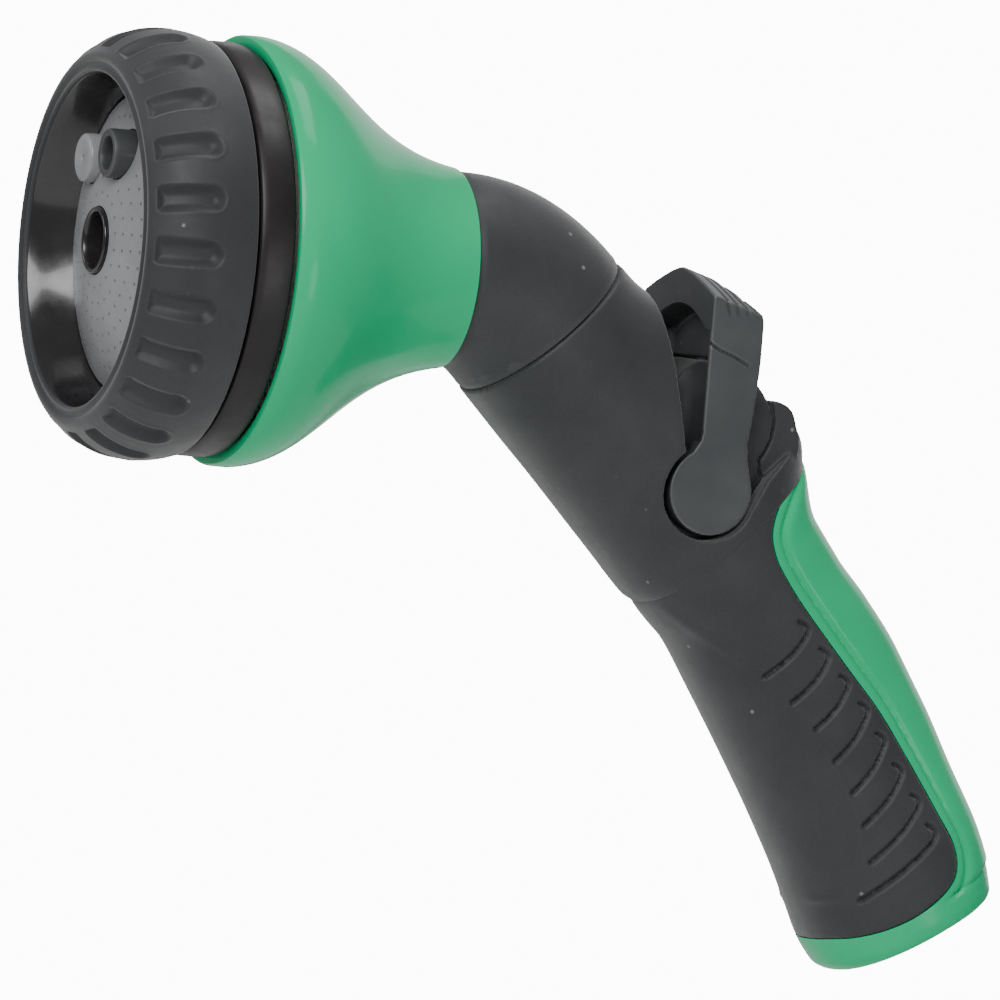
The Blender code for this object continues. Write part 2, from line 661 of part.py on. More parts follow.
def housing_outline(grow=0.0):
    """Side view of the valve housing: a round hump on a block square to the body axis."""
    radius = HUMP_RADIUS + grow
    floor = 10.0 * MM + grow
    ledge = 11.2 * MM + grow
    block_front, block_back = 22.0 * MM - grow, 49.5 * MM + grow
    ahead = block_front - (HUMP_CENTRE - SEAM).dot(BODY_AXIS)
    meeting = math.atan2(-math.sqrt(radius ** 2 - ahead ** 2), ahead) - BODY_TILT
    hump = arc(HUMP_CENTRE, radius, 360.0 + math.degrees(meeting), -38.0, 12)
    return [*hump, body_point(REAR_WALL - 2 * GAP + grow, ledge), body_point(block_back, ledge),
            body_point(block_back, -floor), body_point(block_front, -floor)]


def build_body_shell():
    """Black body from the neck to the handle, open for the valve and the lever arms."""
    rings = []
    for along, below, above, half_width in body_stations():
        rings.append(section(body_point(along * MM), BODY_TILT, below * MM, above * MM,
                             half_width * MM, power=2.2))
    body = loft("body_shell", rings, "soft_black")
    shade_round(body)
    combine(body, prism("lever_pocket", pocket_outline(), BODY_HALF_WIDTH + 5.0 * MM))
    combine(body, prism("guard_lobe", guard_outline(), HUMP_HALF_WIDTH), 'UNION')
    combine(body, prism("housing_room", housing_outline(GAP), HUMP_HALF_WIDTH + GAP))
    combine(body, rod("body_bore", body_point(-2 * MM), body_point(12.0 * MM), 13.0 * MM))
    return combine(body, rod("body_passage", body_point(10.0 * MM, PIVOT_LIFT),
                             body_point(25.5 * MM, PIVOT_LIFT), 9.0 * MM))


def hump_barrel():
    """Crowned disc about the pivot that rounds the hump's long edges."""
    corner = 5.0 * MM
    reach = HUMP_RISE + HUMP_RADIUS + 0.2 * MM
    flat = HUMP_HALF_WIDTH - corner
    profile = [(0.0, -HUMP_HALF_WIDTH)]
    for side, angles in ((-1, (90, 50, 15)), (1, (15, 50, 90))):
        for angle in angles:
            rise = corner * math.cos(math.radians(angle))
            along = flat + corner * math.sin(math.radians(angle))
            profile.append((reach - corner + rise, side * along))
    profile.append((0.0, HUMP_HALF_WIDTH))
    return turned("hump_barrel", profile, frame_along(PIVOT, Vector((1.0, 0.0, 0.0))), segments=32)


def build_valve_housing():
    """Hump between the lever arms, bored for the ball, its seats and its stems."""
    housing = prism("valve_housing", housing_outline(1 * MM), HUMP_HALF_WIDTH + 1 * MM, "soft_black")
    combine(housing, prism("housing_block", housing_outline(), HUMP_HALF_WIDTH), 'INTERSECT')
    combine(housing, hump_barrel(), 'INTERSECT')
    shade_round(housing)
    bores = ((21.0, 22.0 + 3.6, 8.3), (24.0, 27.5, 6.3), (27.0, 32.0, 4.2), (31.0, 51.0, 8.5))
    for index, (start, end, radius) in enumerate(bores):
        bore = rod("valve_bore_%d" % index, body_point(start * MM, PIVOT_LIFT),
                   body_point(end * MM, PIVOT_LIFT), radius * MM, segments=20)
        combine(housing, bore)
    across = Vector((13.5 * MM, 0.0, 0.0))
    combine(housing, rod("stem_bore", PIVOT - across, PIVOT + across, STEM_RADIUS + GAP, segments=24))
    for side, name in ((-1, "gland_left"), (1, "gland_right")):
        inner = PIVOT + Vector((side * 9.4 * MM, 0.0, 0.0))
        gland = rod(name, inner, PIVOT + across * side, 5.1 * MM, segments=24)
        combine(housing, gland)
    return housing


def build_valve_works():
    """Ball with its stems, two seats, the retainer and the stem O-rings."""
    valve_ball = ball("valve_ball", PIVOT, BALL_RADIUS, "brass", 20)
    shade_round(valve_ball)
    across = Vector((12.6 * MM, 0.0, 0.0))
    combine(valve_ball, rod("stem_bar", PIVOT - across, PIVOT + across, STEM_RADIUS, segments=24),
            'UNION')
    square = (31.0 * MM, 4.2 * MM, 4.2 * MM)
    combine(valve_ball, block("stem_square", PIVOT, square), 'UNION')
    reach = BODY_AXIS * 10 * MM
    combine(valve_ball, rod("ball_bore", PIVOT - reach, PIVOT + reach, BALL_BORE, segments=20))
    made = [valve_ball]
    seat_radius = 8.2 * MM
    seat_bore = 2.8 * MM
    for name, start, end in (("valve_seat_front", 31.3 * MM, 34.6 * MM),
                             ("valve_seat_rear", 44.2 * MM, 47.5 * MM)):
        ring = [(seat_bore, start), (seat_radius, start), (seat_radius, end), (seat_bore, end)]
        seat = turned(name, ring, VALVE_FRAME, "seal_rubber", 20)
        combine(seat, ball(name + "_room", PIVOT, BALL_RADIUS + GAP, segments=20))
        made.append(seat)
    ring = [(4.0 * MM, 47.8 * MM), (seat_radius, 47.8 * MM), (seat_radius, 49.4 * MM),
            (4.0 * MM, 49.4 * MM)]
    made.append(turned("seat_retainer", ring, VALVE_FRAME, "inner_plastic", 20))
    for side, name in ((-1, "stem_o_ring_left"), (1, "stem_o_ring_right")):
        stem_frame = frame_along(PIVOT, Vector((-side, 0.0, 0.0)))
        made.append(o_ring(name, stem_frame, 4.2 * MM, 0.75 * MM, 10.8 * MM, 20))
    return made


# --------------------------------------------------------------------------------------- lever

def lever_side_outline():
    """Side view: a round hub, a straight arm and the overhanging thumb pad."""
    hub_angle = math.degrees(math.acos(ARM_FRONT / HUB_RADIUS))
    back_angle = math.degrees(math.acos(ARM_BACK / HUB_RADIUS))
    hub = arc(PIVOT, HUB_RADIUS, 180.0 - hub_angle, 360.0 + back_angle, 20)
    above = PIVOT.z + LEVER_HEIGHT + LEVER_CROWN + 2 * MM
    pad_low = PIVOT.z + LEVER_HEIGHT - 12.0 * MM
    return [Vector((0.0, PIVOT.y - ARM_FRONT, above)), *hub,
            Vector((0.0, PIVOT.y + ARM_BACK, PIVOT.z + 9.0 * MM)),
            Vector((0.0, PIVOT.y + ARM_BACK + 0.8 * MM, PIVOT.z + 16.0 * MM)),
            Vector((0.0, PIVOT.y + PAD_BACK, pad_low + 5.0 * MM)),
            Vector((0.0, PIVOT.y + PAD_BACK, above))]


def lever_front_outline():
    """Front view, as (x, height above the pivot): crowned on top, arched below."""
    steps = 8
    outline = []
    for i in range(steps + 1):
        share = 2.0 * i / steps - 1.0
        outline.append((share * ARM_OUTER, LEVER_HEIGHT + LEVER_CROWN * (1 - abs(share) ** 1.8)))
    foot = -HUB_RADIUS - 4 * MM
    outline += [(ARM_OUTER, foot), (ARM_INNER, foot)]
    for i in range(steps + 1):
        share = 1.0 - 2.0 * i / steps
        height = LEVER_HEIGHT - PAD_THICKNESS - 3.0 * MM + (LEVER_CROWN + 3.0 * MM) * (1 - share ** 2)
        outline.append((share * ARM_INNER, height))
    outline += [(-ARM_INNER, foot), (-ARM_OUTER, foot)]
    return outline


def hood_outline():
    """Side view of the wall that closes the back of the crosspiece."""
    lip = ((2.6, 24.8), (5.4, 24.3), (7.2, 29.0), (7.2, 35.0), (2.6, 36.0))
    return [PIVOT + Vector((0.0, along * MM, height * MM)) for along, height in lip]


def build_thumb_lever():
    """One yoke: two arms, their hubs and the crosspiece that the thumb pushes."""
    lever = prism("thumb_lever", lever_side_outline(), ARM_OUTER + 2 * MM, "lever_grey")
    outline = lever_front_outline()
    slope = Vector((0.0, 1.0, -math.tan(PAD_SLOPE)))
    rings = []
    for reach in (-14.0 * MM, 16.0 * MM):
        start = Vector((0.0, PIVOT.y - ARM_FRONT, PIVOT.z)) + slope * reach
        rings.append([start + Vector((x, 0.0, height)) for x, height in outline])
    combine(lever, loft("lever_arch", rings), 'INTERSECT')
    combine(lever, prism("thumb_hood", hood_outline(), ARM_INNER + 1.0 * MM), 'UNION')
    square = (31.6 * MM, 4.8 * MM, 4.8 * MM)
    combine(lever, block("lever_square", PIVOT, square))
    shade_round(lever, 30.0)
    return lever


# -------------------------------------------------------------------------------------- handle

def handle_rings(inset=0.0, extend=0.0):
    """Sections from the body's rear face to the inlet end, inset from the outside."""
    top = body_point(BODY_LENGTH + 0.15 * MM - extend)
    upper = handle_point(66.0 * MM)
    mid_tilt = (BODY_TILT + HANDLE_TILT) / 2
    rings = [section(top, BODY_TILT, 17.1 * MM, 21.7 * MM, 17.8 * MM, inset),
             section(top.lerp(upper, 0.55), mid_tilt, 17.1 * MM, 17.0 * MM, 17.6 * MM, inset)]
    stations = ((66.0, 17.1, 16.5, 17.3), (57.0, 16.9, 18.1, 17.2), (46.0, 16.8, 19.2, 17.1),
                (35.0, 16.9, 19.2, 17.0), (22.0, 17.4, 18.5, 17.4), (13.0, 18.3, 18.2, 17.7),
                (6.0, 19.0, 17.5, 18.0), (1.6, 18.6, 16.6, 17.9), (-0.3, 17.6, 16.2, 17.5),
                (-INLET_LIP / MM, 16.7, 16.0, 16.9))
    last = stations[-1]
    for depth, front, back, half_width in stations:
        place = handle_point(depth * MM - (extend if depth == last[0] else 0.0))
        rings.append(section(place, HANDLE_TILT, front * MM, back * MM, half_width * MM, inset))
    return rings


def panel_outline(grow=0.0):
    """Side view of the overmoulded panel; its edge leaves a green back and a green base."""
    edge = [(-24.0, 7.9), (-18.5, 6.8), (-14.6, 5.5), (-9.6, 4.6), (-3.6, 4.4), (2.6, 5.4), (6.6, 7.6),
            (8.6, 12.0), (8.5, 18.4), (7.9, 30.0), (7.0, 40.2), (5.0, 50.5), (2.8, 62.9), (2.0, 69.5),
            (2.0, 74.0), (3.4, 78.2), (7.0, 81.6), (14.5, 86.0)]
    outline = smooth_outline([handle_point(depth * MM - grow * 0.7, lift * MM + grow * 0.7)
                              for lift, depth in edge], 3)
    return [*outline, handle_point(110.0 * MM, 14.0 * MM), handle_point(110.0 * MM, -40.0 * MM),
            handle_point(7.9 * MM - grow, -40.0 * MM)]


def build_handle():
    """Green core and black grip, shaped from the same outside surface."""
    core = loft("handle_core", handle_rings(), "green")
    shade_round(core)
    recess = prism("grip_recess", panel_outline(GAP), 25.0 * MM)
    combine(recess, loft("recess_floor", handle_rings(GRIP_THICKNESS + GAP, 2 * MM)))
    combine(core, recess)
    hollow = loft("core_hollow", handle_rings(GRIP_THICKNESS + GAP + CORE_WALL, 2 * MM))
    combine(core, hollow)
    combine(core, rod("inlet_socket", handle_point(-3 * MM), handle_point(SOCKET_DEPTH + GAP),
                      INSERT_RADIUS + GAP, segments=36))
    grip = loft("grip_panel", handle_rings(), "soft_black")
    shade_round(grip)
    combine(grip, prism("grip_edge", panel_outline(), 25.0 * MM), 'INTERSECT')
    combine(grip, loft("grip_inside", handle_rings(GRIP_THICKNESS, 2 * MM)))
    return [core, grip]


def build_inlet():
    """Inner tube, thread insert, washer and filter."""
    start = body_point(BODY_LENGTH + 0.3 * MM, PIVOT_LIFT)
    turn = HANDLE_TILT - BODY_TILT
    offset = start.dot(HANDLE_BACK)
    corner = start + BODY_AXIS * (-offset / math.sin(turn))
    path = fillet_path(start, corner, handle_point(SOCKET_DEPTH + GAP), 30.0 * MM)
    tube = bar("inlet_tube", path, INLET_TUBE_RADIUS, "inner_plastic", 16)
    longer = [start - BODY_AXIS * MM, *path[1:-1], path[-1] + HANDLE_AXIS * MM]
    shade_round(tube)
    combine(tube, bar("inlet_bore", longer, 5.2 * MM, sides=12))
    collar = 8.0 * MM
    insert = [(THREAD_CREST + 1.2 * MM, 0.0), (INSERT_RADIUS, 0.0), (INSERT_RADIUS, SOCKET_DEPTH),
              (collar + 2.0 * MM, SOCKET_DEPTH), (collar + 2.0 * MM, 24.0 * MM), (collar, 24.0 * MM),
              (collar, SOCKET_DEPTH), (6.2 * MM, SOCKET_DEPTH), (6.2 * MM, 15.0 * MM),
              (THREAD_CREST, 15.0 * MM), (THREAD_CREST, 1.2 * MM)]
    made = [tube, turned("thread_insert", insert, INLET_FRAME, "brass", 32)]
    washer = [(7.2 * MM, 12.1 * MM), (12.1 * MM, 12.1 * MM), (12.1 * MM, 14.7 * MM),
              (7.2 * MM, 14.7 * MM)]
    made.append(turned("hose_washer", washer, INLET_FRAME, "seal_rubber", 24))
    dome = [(0.0, 7.6 * MM), (3.6 * MM, 8.3 * MM), (6.8 * MM, 11.0 * MM), (11.9 * MM, 11.0 * MM),
            (11.9 * MM, 11.8 * MM), (6.3 * MM, 11.8 * MM), (3.3 * MM, 9.1 * MM), (0.0, 8.4 * MM)]
    made.append(turned("filter_screen", dome, INLET_FRAME, "steel", 20))
    return made


# ------------------------------------------------------------------------------------- assembly

def hang_on(axis_name, frame, pieces):
    """Parent moving pieces to an empty on their joint's axis, where they are."""
    empty = bpy.data.objects.new(axis_name, None)
    PARTS.objects.link(empty)
    empty.matrix_world = frame
    bpy.context.view_layer.update()
    for piece in pieces:
        piece.parent = empty
        piece.matrix_parent_inverse = frame.inverted()


def build():
    """Make every piece and put the moving ones on their axes."""
    dial = [build_dial_grip_ring(), build_dial_cup(), build_spray_face(), build_centre_throat(),
            *build_outlets(), build_dial_back_plate()]
    hang_on("dial_axis", HEAD_FRAME, dial)
    build_dial_screw()
    build_head_collar()
    build_head_shell()
    build_port_plate()
    build_head_works()
    build_pressure_cup()
    build_neck_elbow()
    build_outlet_tube()
    build_body_shell()
    build_valve_housing()
    valve_works = build_valve_works()
    hang_on("lever_axis", Matrix.Translation(PIVOT), [build_thumb_lever(), valve_works[0]])
    build_handle()
    build_inlet()


build()
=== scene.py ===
"""Looks of a garden hose spray nozzle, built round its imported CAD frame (metres, +Z up)."""
import json
import math

import bmesh
import bpy
import numpy as np
from mathutils import Matrix, Vector
from mathutils.geometry import interpolate_bezier


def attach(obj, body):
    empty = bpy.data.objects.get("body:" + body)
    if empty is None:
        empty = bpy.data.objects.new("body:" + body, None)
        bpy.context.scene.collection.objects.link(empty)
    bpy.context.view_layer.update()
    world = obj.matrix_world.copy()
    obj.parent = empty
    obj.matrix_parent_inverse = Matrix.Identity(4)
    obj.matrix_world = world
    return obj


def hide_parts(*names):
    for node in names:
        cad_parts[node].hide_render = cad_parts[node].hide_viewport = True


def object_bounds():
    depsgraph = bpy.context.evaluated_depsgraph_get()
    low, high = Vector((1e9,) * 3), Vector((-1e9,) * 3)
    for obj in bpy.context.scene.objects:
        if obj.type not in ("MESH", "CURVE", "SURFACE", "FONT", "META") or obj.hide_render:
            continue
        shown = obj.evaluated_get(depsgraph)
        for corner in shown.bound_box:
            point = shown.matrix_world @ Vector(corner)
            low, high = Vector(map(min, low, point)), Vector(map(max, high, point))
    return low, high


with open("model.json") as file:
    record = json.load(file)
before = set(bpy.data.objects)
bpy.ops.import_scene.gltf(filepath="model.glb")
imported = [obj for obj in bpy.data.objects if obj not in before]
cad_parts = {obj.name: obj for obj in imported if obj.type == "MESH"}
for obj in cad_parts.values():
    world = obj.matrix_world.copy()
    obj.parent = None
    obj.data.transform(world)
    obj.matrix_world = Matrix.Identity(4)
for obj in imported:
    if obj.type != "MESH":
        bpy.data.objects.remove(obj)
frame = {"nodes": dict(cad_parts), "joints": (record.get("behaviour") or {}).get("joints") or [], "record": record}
CAD_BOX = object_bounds()

MM = 0.001
JOINTS = {joint["name"]: joint for joint in frame["joints"]}
HEAD_FRONT = Vector(JOINTS["dial_spin"]["pos_m"])
PIVOT = Vector(JOINTS["lever_swing"]["pos_m"])
SEAM = HEAD_FRONT + Vector((0.0, 86.6 * MM, -8.8 * MM))
BODY_TILT = math.radians(45.0)
HANDLE_TILT = math.radians(57.3)
BODY_AXIS = Vector((0.0, math.cos(BODY_TILT), -math.sin(BODY_TILT)))
BODY_UP = Vector((0.0, math.sin(BODY_TILT), math.cos(BODY_TILT)))
HANDLE_AXIS = Vector((0.0, math.cos(HANDLE_TILT), -math.sin(HANDLE_TILT)))
HANDLE_BACK = Vector((0.0, math.sin(HANDLE_TILT), math.cos(HANDLE_TILT)))
OUTLET_CIRCLE = 16.2
FACE_RADIUS = 26.3
FACE_RISE = 6.0
FACE_TOP = 1.6
DOME_SPHERE = (FACE_RADIUS ** 2 + FACE_RISE ** 2) / (2 * FACE_RISE)
GROOVES = 24
GROOVE_TURN = 6.6
BODY_LENGTH = 50.0
HUMP_HALF_WIDTH = 12.2
HUB_RADIUS = 7.8
HUB_RECESS = 9.0
REAR_WALL = 45.2
ARM_INNER = 12.8
ARM_OUTER = 16.7
THREAD_TOP = 1.2
THREAD_BOTTOM = 12.0


# --------------------------------------------------------------------------------- materials

class Finish:
    """Small helper that grows one node material."""

    def __init__(self, name):
        self.material = bpy.data.materials.new(name)
        self.material.use_nodes = True
        self.tree = self.material.node_tree
        self.shader = self.tree.nodes["Principled BSDF"]
        self.where = self.tree.nodes.new("ShaderNodeTexCoord").outputs["Object"]

    def feed(self, socket, value):
        """Link a socket to another node's output, or give it a plain value."""
        if isinstance(value, bpy.types.NodeSocket):
            self.tree.links.new(value, socket)
        else:
            socket.default_value = value

    def node(self, kind, inputs):
        made = self.tree.nodes.new(kind)
        for key, value in inputs.items():
            self.feed(made.inputs[key], value)
        return made

    def noise(self, scale, detail=3.0, roughness=0.55, stretch=None):
        where = self.where
        if stretch:
            where = self.node("ShaderNodeMapping", {"Vector": where, "Scale": stretch}).outputs[0]
        return self.node("ShaderNodeTexNoise", {"Vector": where, "Scale": scale, "Detail": detail,
                                                "Roughness": roughness}).outputs["Fac"]

    def ramp(self, value, low, high, to_low=0.0, to_high=1.0):
        return self.node("ShaderNodeMapRange", {"Value": value, "From Min": low, "From Max": high,
                                                "To Min": to_low, "To Max": to_high}).outputs[0]

    def mix(self, amount, first, second):
        made = self.tree.nodes.new("ShaderNodeMix")
        made.data_type = 'RGBA'
        self.feed(made.inputs[0], amount)
        for index, colour in ((6, first), (7, second)):
            self.feed(made.inputs[index], (*colour, 1.0) if isinstance(colour, tuple) else colour)
        return made.outputs[2]

    def maths(self, operation, first, second):
        made = self.node("ShaderNodeMath", {0: first, 1: second})
        made.operation = operation
        return made.outputs[0]

    def specks(self, scale, share, size):
        """Small round specks in a share of the cells."""
        cells = self.node("ShaderNodeTexVoronoi", {"Vector": self.where, "Scale": scale})
        chosen = self.ramp(self.node("ShaderNodeSeparateColor", {"Color": cells.outputs["Color"]})
                           .outputs[0], 1.0 - share, 1.0 - share + 0.01)
        near = self.ramp(cells.outputs["Distance"], size, size * 0.5)
        return self.maths('MULTIPLY', chosen, near)

    def mottle(self, scale, dark, light, detail=3.0):
        """Slow variation between two tones."""
        return self.mix(self.ramp(self.noise(scale, detail), 0.35, 0.65), dark, light)

    def uneven(self, scale, low, high, stretch=None):
        """A value that wanders between two limits, for roughness."""
        return self.ramp(self.noise(scale, stretch=stretch), 0.3, 0.7, low, high)

    def edge_highlight(self, colour, amount, tint, low=0.52, high=0.58):
        """Painted highlight: a lighter tint on the outward edges of the mesh, standing in for light caught on the
        edges.
        """
        pointed = self.node("ShaderNodeNewGeometry", {}).outputs["Pointiness"]
        return self.mix(self.maths('MULTIPLY', self.ramp(pointed, low, high), amount), colour, tint)

    def dusty(self, colour, cells, amount, grey):
        """Pale dust over a colour; cells is (scale, share, size) of the specks."""
        return self.mix(self.maths('MULTIPLY', self.specks(*cells), amount), colour, (grey,) * 3)

    def bump(self, heights):
        """Chain of (height, distance in metres, strength)."""
        last = None
        for height, distance, strength in heights:
            inputs = {"Height": height, "Distance": distance, "Strength": strength}
            if last:
                inputs["Normal"] = last
            last = self.node("ShaderNodeBump", inputs).outputs[0]
        self.tree.links.new(last, self.shader.inputs["Normal"])

    def set(self, **values):
        """Shader inputs, with underscores for the spaces in their names."""
        for key, value in values.items():
            self.feed(self.shader.inputs[key.replace("_", " ")], value)


def soft_black():
    """Thermoplastic rubber: dark neutral grey, fine moulded grain, dust specks, painted highlight on the edges."""
    f = Finish("soft_black_rubber")
    colour = f.mottle(45.0, (0.0175, 0.0195, 0.0215), (0.0255, 0.0275, 0.0295))
    # Painted highlight: lighter grey on the sharp edges, standing in for light caught there.
    colour = f.edge_highlight(colour, 0.20, (0.075, 0.078, 0.082))
    colour = f.dusty(colour, (330.0, 0.05, 0.16), 0.75, 0.22)
    f.set(Base_Color=colour, Roughness=f.uneven(160.0, 0.50, 0.64),
          Sheen_Weight=0.32, Sheen_Roughness=0.42, Specular_IOR_Level=0.42)
    f.bump([(f.noise(2600.0, 2.0), 0.00005, 0.55), (f.noise(420.0, 3.0), 0.00007, 0.30)])
    return f.material


def gloss_black():
    """Polished black plastic of the cup and the throat."""
    f = Finish("gloss_black_plastic")
    colour = f.mottle(70.0, (0.010, 0.010, 0.012), (0.018, 0.016, 0.016))
    colour = f.dusty(colour, (420.0, 0.04, 0.14), 0.5, 0.16)
    f.set(Base_Color=colour, Roughness=f.uneven(220.0, 0.13, 0.26), Coat_Weight=0.25, Coat_Roughness=0.08)
    f.bump([(f.noise(300.0, 2.0), 0.00005, 0.25)])
    return f.material


def satin_black():
    """Duller black plastic of the collar, with a trace of brown."""
    f = Finish("satin_black_plastic")
    colour = f.mottle(70.0, (0.011, 0.009, 0.010), (0.019, 0.016, 0.017))
    colour = f.dusty(colour, (420.0, 0.04, 0.14), 0.4, 0.12)
    f.set(Base_Color=colour, Roughness=f.uneven(220.0, 0.34, 0.46), Specular_IOR_Level=0.32)
    f.bump([(f.noise(300.0, 2.0), 0.00005, 0.25)])
    return f.material


def green_plastic():
    """Glossy green of the bell and the handle's core, with a faint orange-peel surface and a painted highlight of
    lighter green on the edges.
    """
    f = Finish("gloss_green_plastic")
    colour = f.mottle(28.0, (0.0, 0.420, 0.165), (0.0, 0.480, 0.190), 2.0)
    # Painted highlight: lighter green on the sharp edges.
    colour = f.edge_highlight(colour, 0.18, (0.02, 0.56, 0.27), 0.52, 0.60)
    f.set(Base_Color=colour, Roughness=f.uneven(90.0, 0.15, 0.24),
          Coat_Weight=0.08, Coat_Roughness=0.05, IOR=1.32, Specular_IOR_Level=0.30)
    f.bump([(f.noise(120.0, 2.0), 0.00010, 0.16), (f.noise(900.0, 2.0), 0.00002, 0.15)])
    return f.material


def face_grey():
    """Satin grey of the spray face and the capped outlet, with a painted highlight on the edges."""
    f = Finish("satin_grey_face")
    colour = f.mottle(60.0, (0.205, 0.213, 0.222), (0.262, 0.270, 0.279))
    # Painted highlight: lighter grey on the sharp edges.
    colour = f.edge_highlight(colour, 0.30, (0.30, 0.30, 0.30))
    f.set(Base_Color=colour, Roughness=f.uneven(200.0, 0.26, 0.38), Coat_Weight=0.15, Coat_Roughness=0.2)
    f.bump([(f.noise(1800.0, 2.0), 0.00003, 0.4)])
    return f.material


def lever_grey():
    """Harder, slightly lighter plastic of the lever, with a pale painted highlight on its edges."""
    f = Finish("lever_grey_plastic")
    colour = f.mottle(55.0, (0.033, 0.037, 0.040), (0.045, 0.049, 0.052))
    # Painted highlight: pale grey on the sharp edges, standing in for light caught there.
    colour = f.edge_highlight(colour, 0.55, (0.16, 0.165, 0.17), 0.515, 0.565)
    colour = f.dusty(colour, (330.0, 0.03, 0.15), 0.7, 0.25)
    f.set(Base_Color=colour, Roughness=f.uneven(140.0, 0.40, 0.52), Specular_IOR_Level=0.45)
    f.bump([(f.noise(1500.0, 2.0), 0.00004, 0.35),
            (f.noise(70.0, 2.0, stretch=(3.0, 1.0, 0.3)), 0.00008, 0.2)])
    return f.material


def inner_plastic():
    """Natural acetal of the pieces inside."""
    f = Finish("acetal_white")
    colour = f.mottle(50.0, (0.50, 0.50, 0.47), (0.60, 0.60, 0.57))
    f.set(Base_Color=colour, Roughness=f.uneven(200.0, 0.34, 0.48))
    f.bump([(f.noise(900.0, 2.0), 0.00003, 0.3)])
    return f.material


def seal_rubber():
    """Dull black of the O-rings, seats and washers."""
    f = Finish("seal_rubber_black")
    colour = f.mottle(80.0, (0.016, 0.016, 0.016), (0.028, 0.027, 0.026))
    f.set(Base_Color=colour, Roughness=f.uneven(300.0, 0.62, 0.8))
    f.bump([(f.noise(1800.0, 2.0), 0.00004, 0.5)])
    return f.material


def steel():
    """Stainless steel, brushed along Z."""
    f = Finish("stainless_steel")
    brushed = (1.0, 1.0, 6.0)
    colour = f.mottle(70.0, (0.46, 0.46, 0.46), (0.60, 0.60, 0.59))
    f.set(Base_Color=colour, Metallic=1.0, Roughness=f.uneven(260.0, 0.22, 0.36, brushed))
    f.bump([(f.noise(1400.0, 2.0, stretch=brushed), 0.00002, 0.4)])
    return f.material


def brass():
    """Turned brass of the thread insert and the valve ball."""
    f = Finish("turned_brass")
    colour = f.mottle(60.0, (0.52, 0.35, 0.13), (0.66, 0.47, 0.20))
    f.set(Base_Color=colour, Metallic=1.0, Roughness=f.uneven(200.0, 0.26, 0.42))
    f.bump([(f.noise(1000.0, 2.0), 0.00003, 0.4)])
    return f.material


MATERIALS = {"soft_black": soft_black(), "gloss_black": gloss_black(), "green": green_plastic(),
             "face_grey": face_grey(), "lever_grey": lever_grey(), "inner_plastic": inner_plastic(),
             "seal_rubber": seal_rubber(), "steel": steel(), "brass": brass()}
SLOTS = {part["node"]: part["material_slot"] for part in frame["record"]["subparts"]}


# ---------------------------------------------------------------------------------- geometry

def head_point(depth, up=0.0, x=0.0):
    """Depth behind the head's front along its axis; mm in, metres out."""
    return HEAD_FRONT + Vector((x, depth, up)) * MM


def body_point(along, lift=0.0, x=0.0):
    """Distance along the body's axis from the neck seam, and height above it."""
    return SEAM + (BODY_AXIS * along + BODY_UP * lift + Vector((x, 0.0, 0.0))) * MM


def handle_point(depth, lift=0.0, x=0.0):
    """Depth up the handle from the inlet's end, and height towards its back."""
    return (HANDLE_BACK * lift - HANDLE_AXIS * depth + Vector((x, 0.0, 0.0))) * MM


def frame_along(origin, direction):
    """Matrix whose Z runs along a direction."""
    z_axis = direction.normalized()
    y_axis = z_axis.cross(Vector((1.0, 0.0, 0.0)))
    if y_axis.length < 0.5:
        y_axis = Vector((0.0, 0.0, 1.0))
    y_axis.normalize()
    x_axis = y_axis.cross(z_axis)
    return Matrix.Translation(origin) @ Matrix((x_axis, y_axis, z_axis)).transposed().to_4x4()


HEAD_FRAME = frame_along(HEAD_FRONT, Vector((0.0, -1.0, 0.0)))
INLET_FRAME = frame_along(Vector((0.0, 0.0, 0.0)), HANDLE_AXIS)


def link(name, mesh):
    item = bpy.data.objects.new(name, mesh)
    bpy.context.scene.collection.objects.link(item)
    return item


def clean(mesh):
    """Merge doubled points, drop slivers and turn the faces outward."""
    work = bmesh.new()
    work.from_mesh(mesh)
    bmesh.ops.remove_doubles(work, verts=work.verts, dist=1e-7)
    bmesh.ops.dissolve_degenerate(work, edges=work.edges, dist=1e-8)
    bmesh.ops.recalc_face_normals(work, faces=work.faces)
    work.to_mesh(mesh)
    work.free()
    return mesh


def skin(name, rings, hollow=False):
    """Quads between successive rings of points in metres; hollow closes last to first."""
    rings = np.array(rings, float)
    levels, count, _ = rings.shape
    index = np.arange(levels * count).reshape(levels, count)
    faces = []
    for level in range(levels if hollow else levels - 1):
        low, high = index[level], index[(level + 1) % levels]
        faces += np.stack([low, np.roll(low, -1), np.roll(high, -1), high], 1).tolist()
    if not hollow:
        faces += [index[0][::-1].tolist(), index[-1].tolist()]
    mesh = bpy.data.meshes.new(name)
    mesh.from_pydata(rings.reshape(-1, 3).tolist(), [], faces)
    return link(name, clean(mesh))


def rounded(profile, radius=0.3, steps=4, closed=True):
    """Cut each sharp corner of a profile (mm) back to a small arc."""
    points = [Vector((r, d, 0.0)) for r, d in profile]
    made = []
    for i, point in enumerate(points):
        if not closed and i in (0, len(points) - 1):
            made.append(point)
            continue
        before, after = points[i - 1], points[(i + 1) % len(points)]
        first, second = before - point, after - point
        if math.pi - first.angle(second) < math.radians(14):
            made.append(point)
            continue
        reach = min(radius, first.length * 0.45, second.length * 0.45)
        start, end = point + first.normalized() * reach, point + second.normalized() * reach
        made += interpolate_bezier(start, start.lerp(point, 0.6), end.lerp(point, 0.6), end, steps)
    return [(p.x, p.y) for p in made]


def ring_points(place, angles, reach, depth):
    """Points round the place's Z at each angle; reach may vary, depth runs towards -Z, both in mm."""
    local = np.stack([np.cos(angles) * reach * MM, np.sin(angles) * reach * MM,
                      np.full(len(angles), -depth * MM), np.ones(len(angles))], 1)
    return (local @ np.array(place).T)[:, :3]


